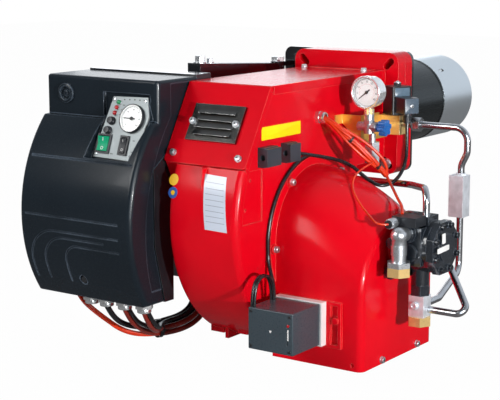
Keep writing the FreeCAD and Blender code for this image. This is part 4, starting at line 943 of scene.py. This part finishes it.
def floor_material():
    """Pale floor: the camera sees it nearly white with the object's shadow kept, mirrors see it dim."""
    seen_white, mirrored_dim = 0.985, 0.8
    mat = bpy.data.materials.new("studio_floor")
    mat.use_nodes = True
    nodes, links = mat.node_tree.nodes, mat.node_tree.links
    shader = nodes["Principled BSDF"]
    shader.inputs["Base Color"].default_value = (0.64, 0.64, 0.65, 1)
    shader.inputs["Roughness"].default_value = 0.9
    shader.inputs["Specular IOR Level"].default_value = 0.0
    white = nodes.new("ShaderNodeEmission")
    path = nodes.new("ShaderNodeLightPath")
    seen = nodes.new("ShaderNodeMath")
    seen.operation = "MAXIMUM"
    links.new(path.outputs["Is Camera Ray"], seen.inputs[0])
    links.new(path.outputs["Is Transmission Ray"], seen.inputs[1])
    share = nodes.new("ShaderNodeMath")
    share.operation = "MULTIPLY"
    share.inputs[1].default_value = seen_white
    links.new(seen.outputs["Value"], share.inputs[0])
    mix = nodes.new("ShaderNodeMixShader")
    links.new(share.outputs["Value"], mix.inputs["Fac"])
    links.new(shader.outputs["BSDF"], mix.inputs[1])
    links.new(white.outputs["Emission"], mix.inputs[2])
    dim = nodes.new("ShaderNodeEmission")
    dim.inputs["Color"].default_value = (0.1, 0.1, 0.1, 1)
    mirrored = nodes.new("ShaderNodeMath")
    mirrored.operation = "MULTIPLY"
    mirrored.inputs[1].default_value = mirrored_dim
    links.new(path.outputs["Is Glossy Ray"], mirrored.inputs[0])
    last = nodes.new("ShaderNodeMixShader")
    links.new(mirrored.outputs["Value"], last.inputs["Fac"])
    links.new(mix.outputs["Shader"], last.inputs[1])
    links.new(dim.outputs["Emission"], last.inputs[2])
    links.new(last.outputs["Shader"], nodes["Material Output"].inputs["Surface"])
    return mat


ground.materials.append(floor_material())


def studio_world():
    """White where it is seen; in mirrors bright behind the object and dim on the camera's side."""
    turnover, mirror_dim, mirror_bright = 0.75, 0.12, 0.8
    world = bpy.data.worlds.new("studio")
    bpy.context.scene.world = world
    world.use_nodes = True
    nodes, links = world.node_tree.nodes, world.node_tree.links
    ambient = nodes["Background"]
    ambient.inputs["Color"].default_value = (0.19, 0.19, 0.2, 1)
    seen = nodes.new("ShaderNodeBackground")
    seen.inputs["Color"].default_value = (1, 1, 1, 1)
    mirrored = nodes.new("ShaderNodeBackground")
    mirrored.inputs["Color"].default_value = (0.84, 0.91, 1.0, 1)
    coords = nodes.new("ShaderNodeTexCoord")
    split = nodes.new("ShaderNodeSeparateXYZ")
    links.new(coords.outputs["Generated"], split.inputs["Vector"])
    level = nodes.new("ShaderNodeMapRange")
    level.interpolation_type = "SMOOTHSTEP"
    level.inputs["From Min"].default_value = -turnover
    level.inputs["From Max"].default_value = turnover
    level.inputs["To Min"].default_value = mirror_dim
    level.inputs["To Max"].default_value = mirror_bright
    links.new(split.outputs["Y"], level.inputs["Value"])
    links.new(level.outputs["Result"], mirrored.inputs["Strength"])
    path = nodes.new("ShaderNodeLightPath")
    first = nodes.new("ShaderNodeMixShader")
    links.new(path.outputs["Is Glossy Ray"], first.inputs["Fac"])
    links.new(ambient.outputs["Background"], first.inputs[1])
    links.new(mirrored.outputs["Background"], first.inputs[2])
    direct = nodes.new("ShaderNodeMath")
    direct.operation = "MAXIMUM"
    links.new(path.outputs["Is Camera Ray"], direct.inputs[0])
    links.new(path.outputs["Is Transmission Ray"], direct.inputs[1])
    second = nodes.new("ShaderNodeMixShader")
    links.new(direct.outputs["Value"], second.inputs["Fac"])
    links.new(first.outputs["Shader"], second.inputs[1])
    links.new(seen.outputs["Background"], second.inputs[2])
    links.new(second.outputs["Shader"], nodes["World Output"].inputs["Surface"])


studio_world()


def softbox(name, place, size, power, mirrored=True, lights=True, tint=(1, 1, 1)):
    """Square area lamp that faces the burner's middle: seen in glossy surfaces, lighting all surfaces, or both."""
    lamp = bpy.data.lights.new(name, "AREA")
    lamp.size = size
    lamp.energy = power
    lamp.color = tint
    obj = bpy.data.objects.new(name, lamp)
    obj.location = place
    aim = Vector((0, -0.3, -0.1)) - obj.location
    obj.rotation_euler = aim.to_track_quat("-Z", "Y").to_euler()
    obj.visible_camera = False
    obj.visible_glossy = mirrored
    obj.visible_diffuse = lights
    root.objects.link(obj)


softbox("top_light", Vector((0.2, -0.2, 2.3)), 2.2, 15, mirrored=False)
softbox("front_light", Vector((-1.3, -2.9, 1.3)), 1.3, 46)
softbox("key_light", Vector((2.6, -1.35, 0.05)), 0.07, 62)
softbox("edge_light", Vector((2.1, -2.1, 0.35)), 1.5, 42, lights=False, tint=(0.85, 0.93, 1.0))
softbox("back_light", Vector((-1.8, 2.3, 0.9)), 1.6, 8.5)

bpy.context.scene.view_settings.view_transform = "Standard"
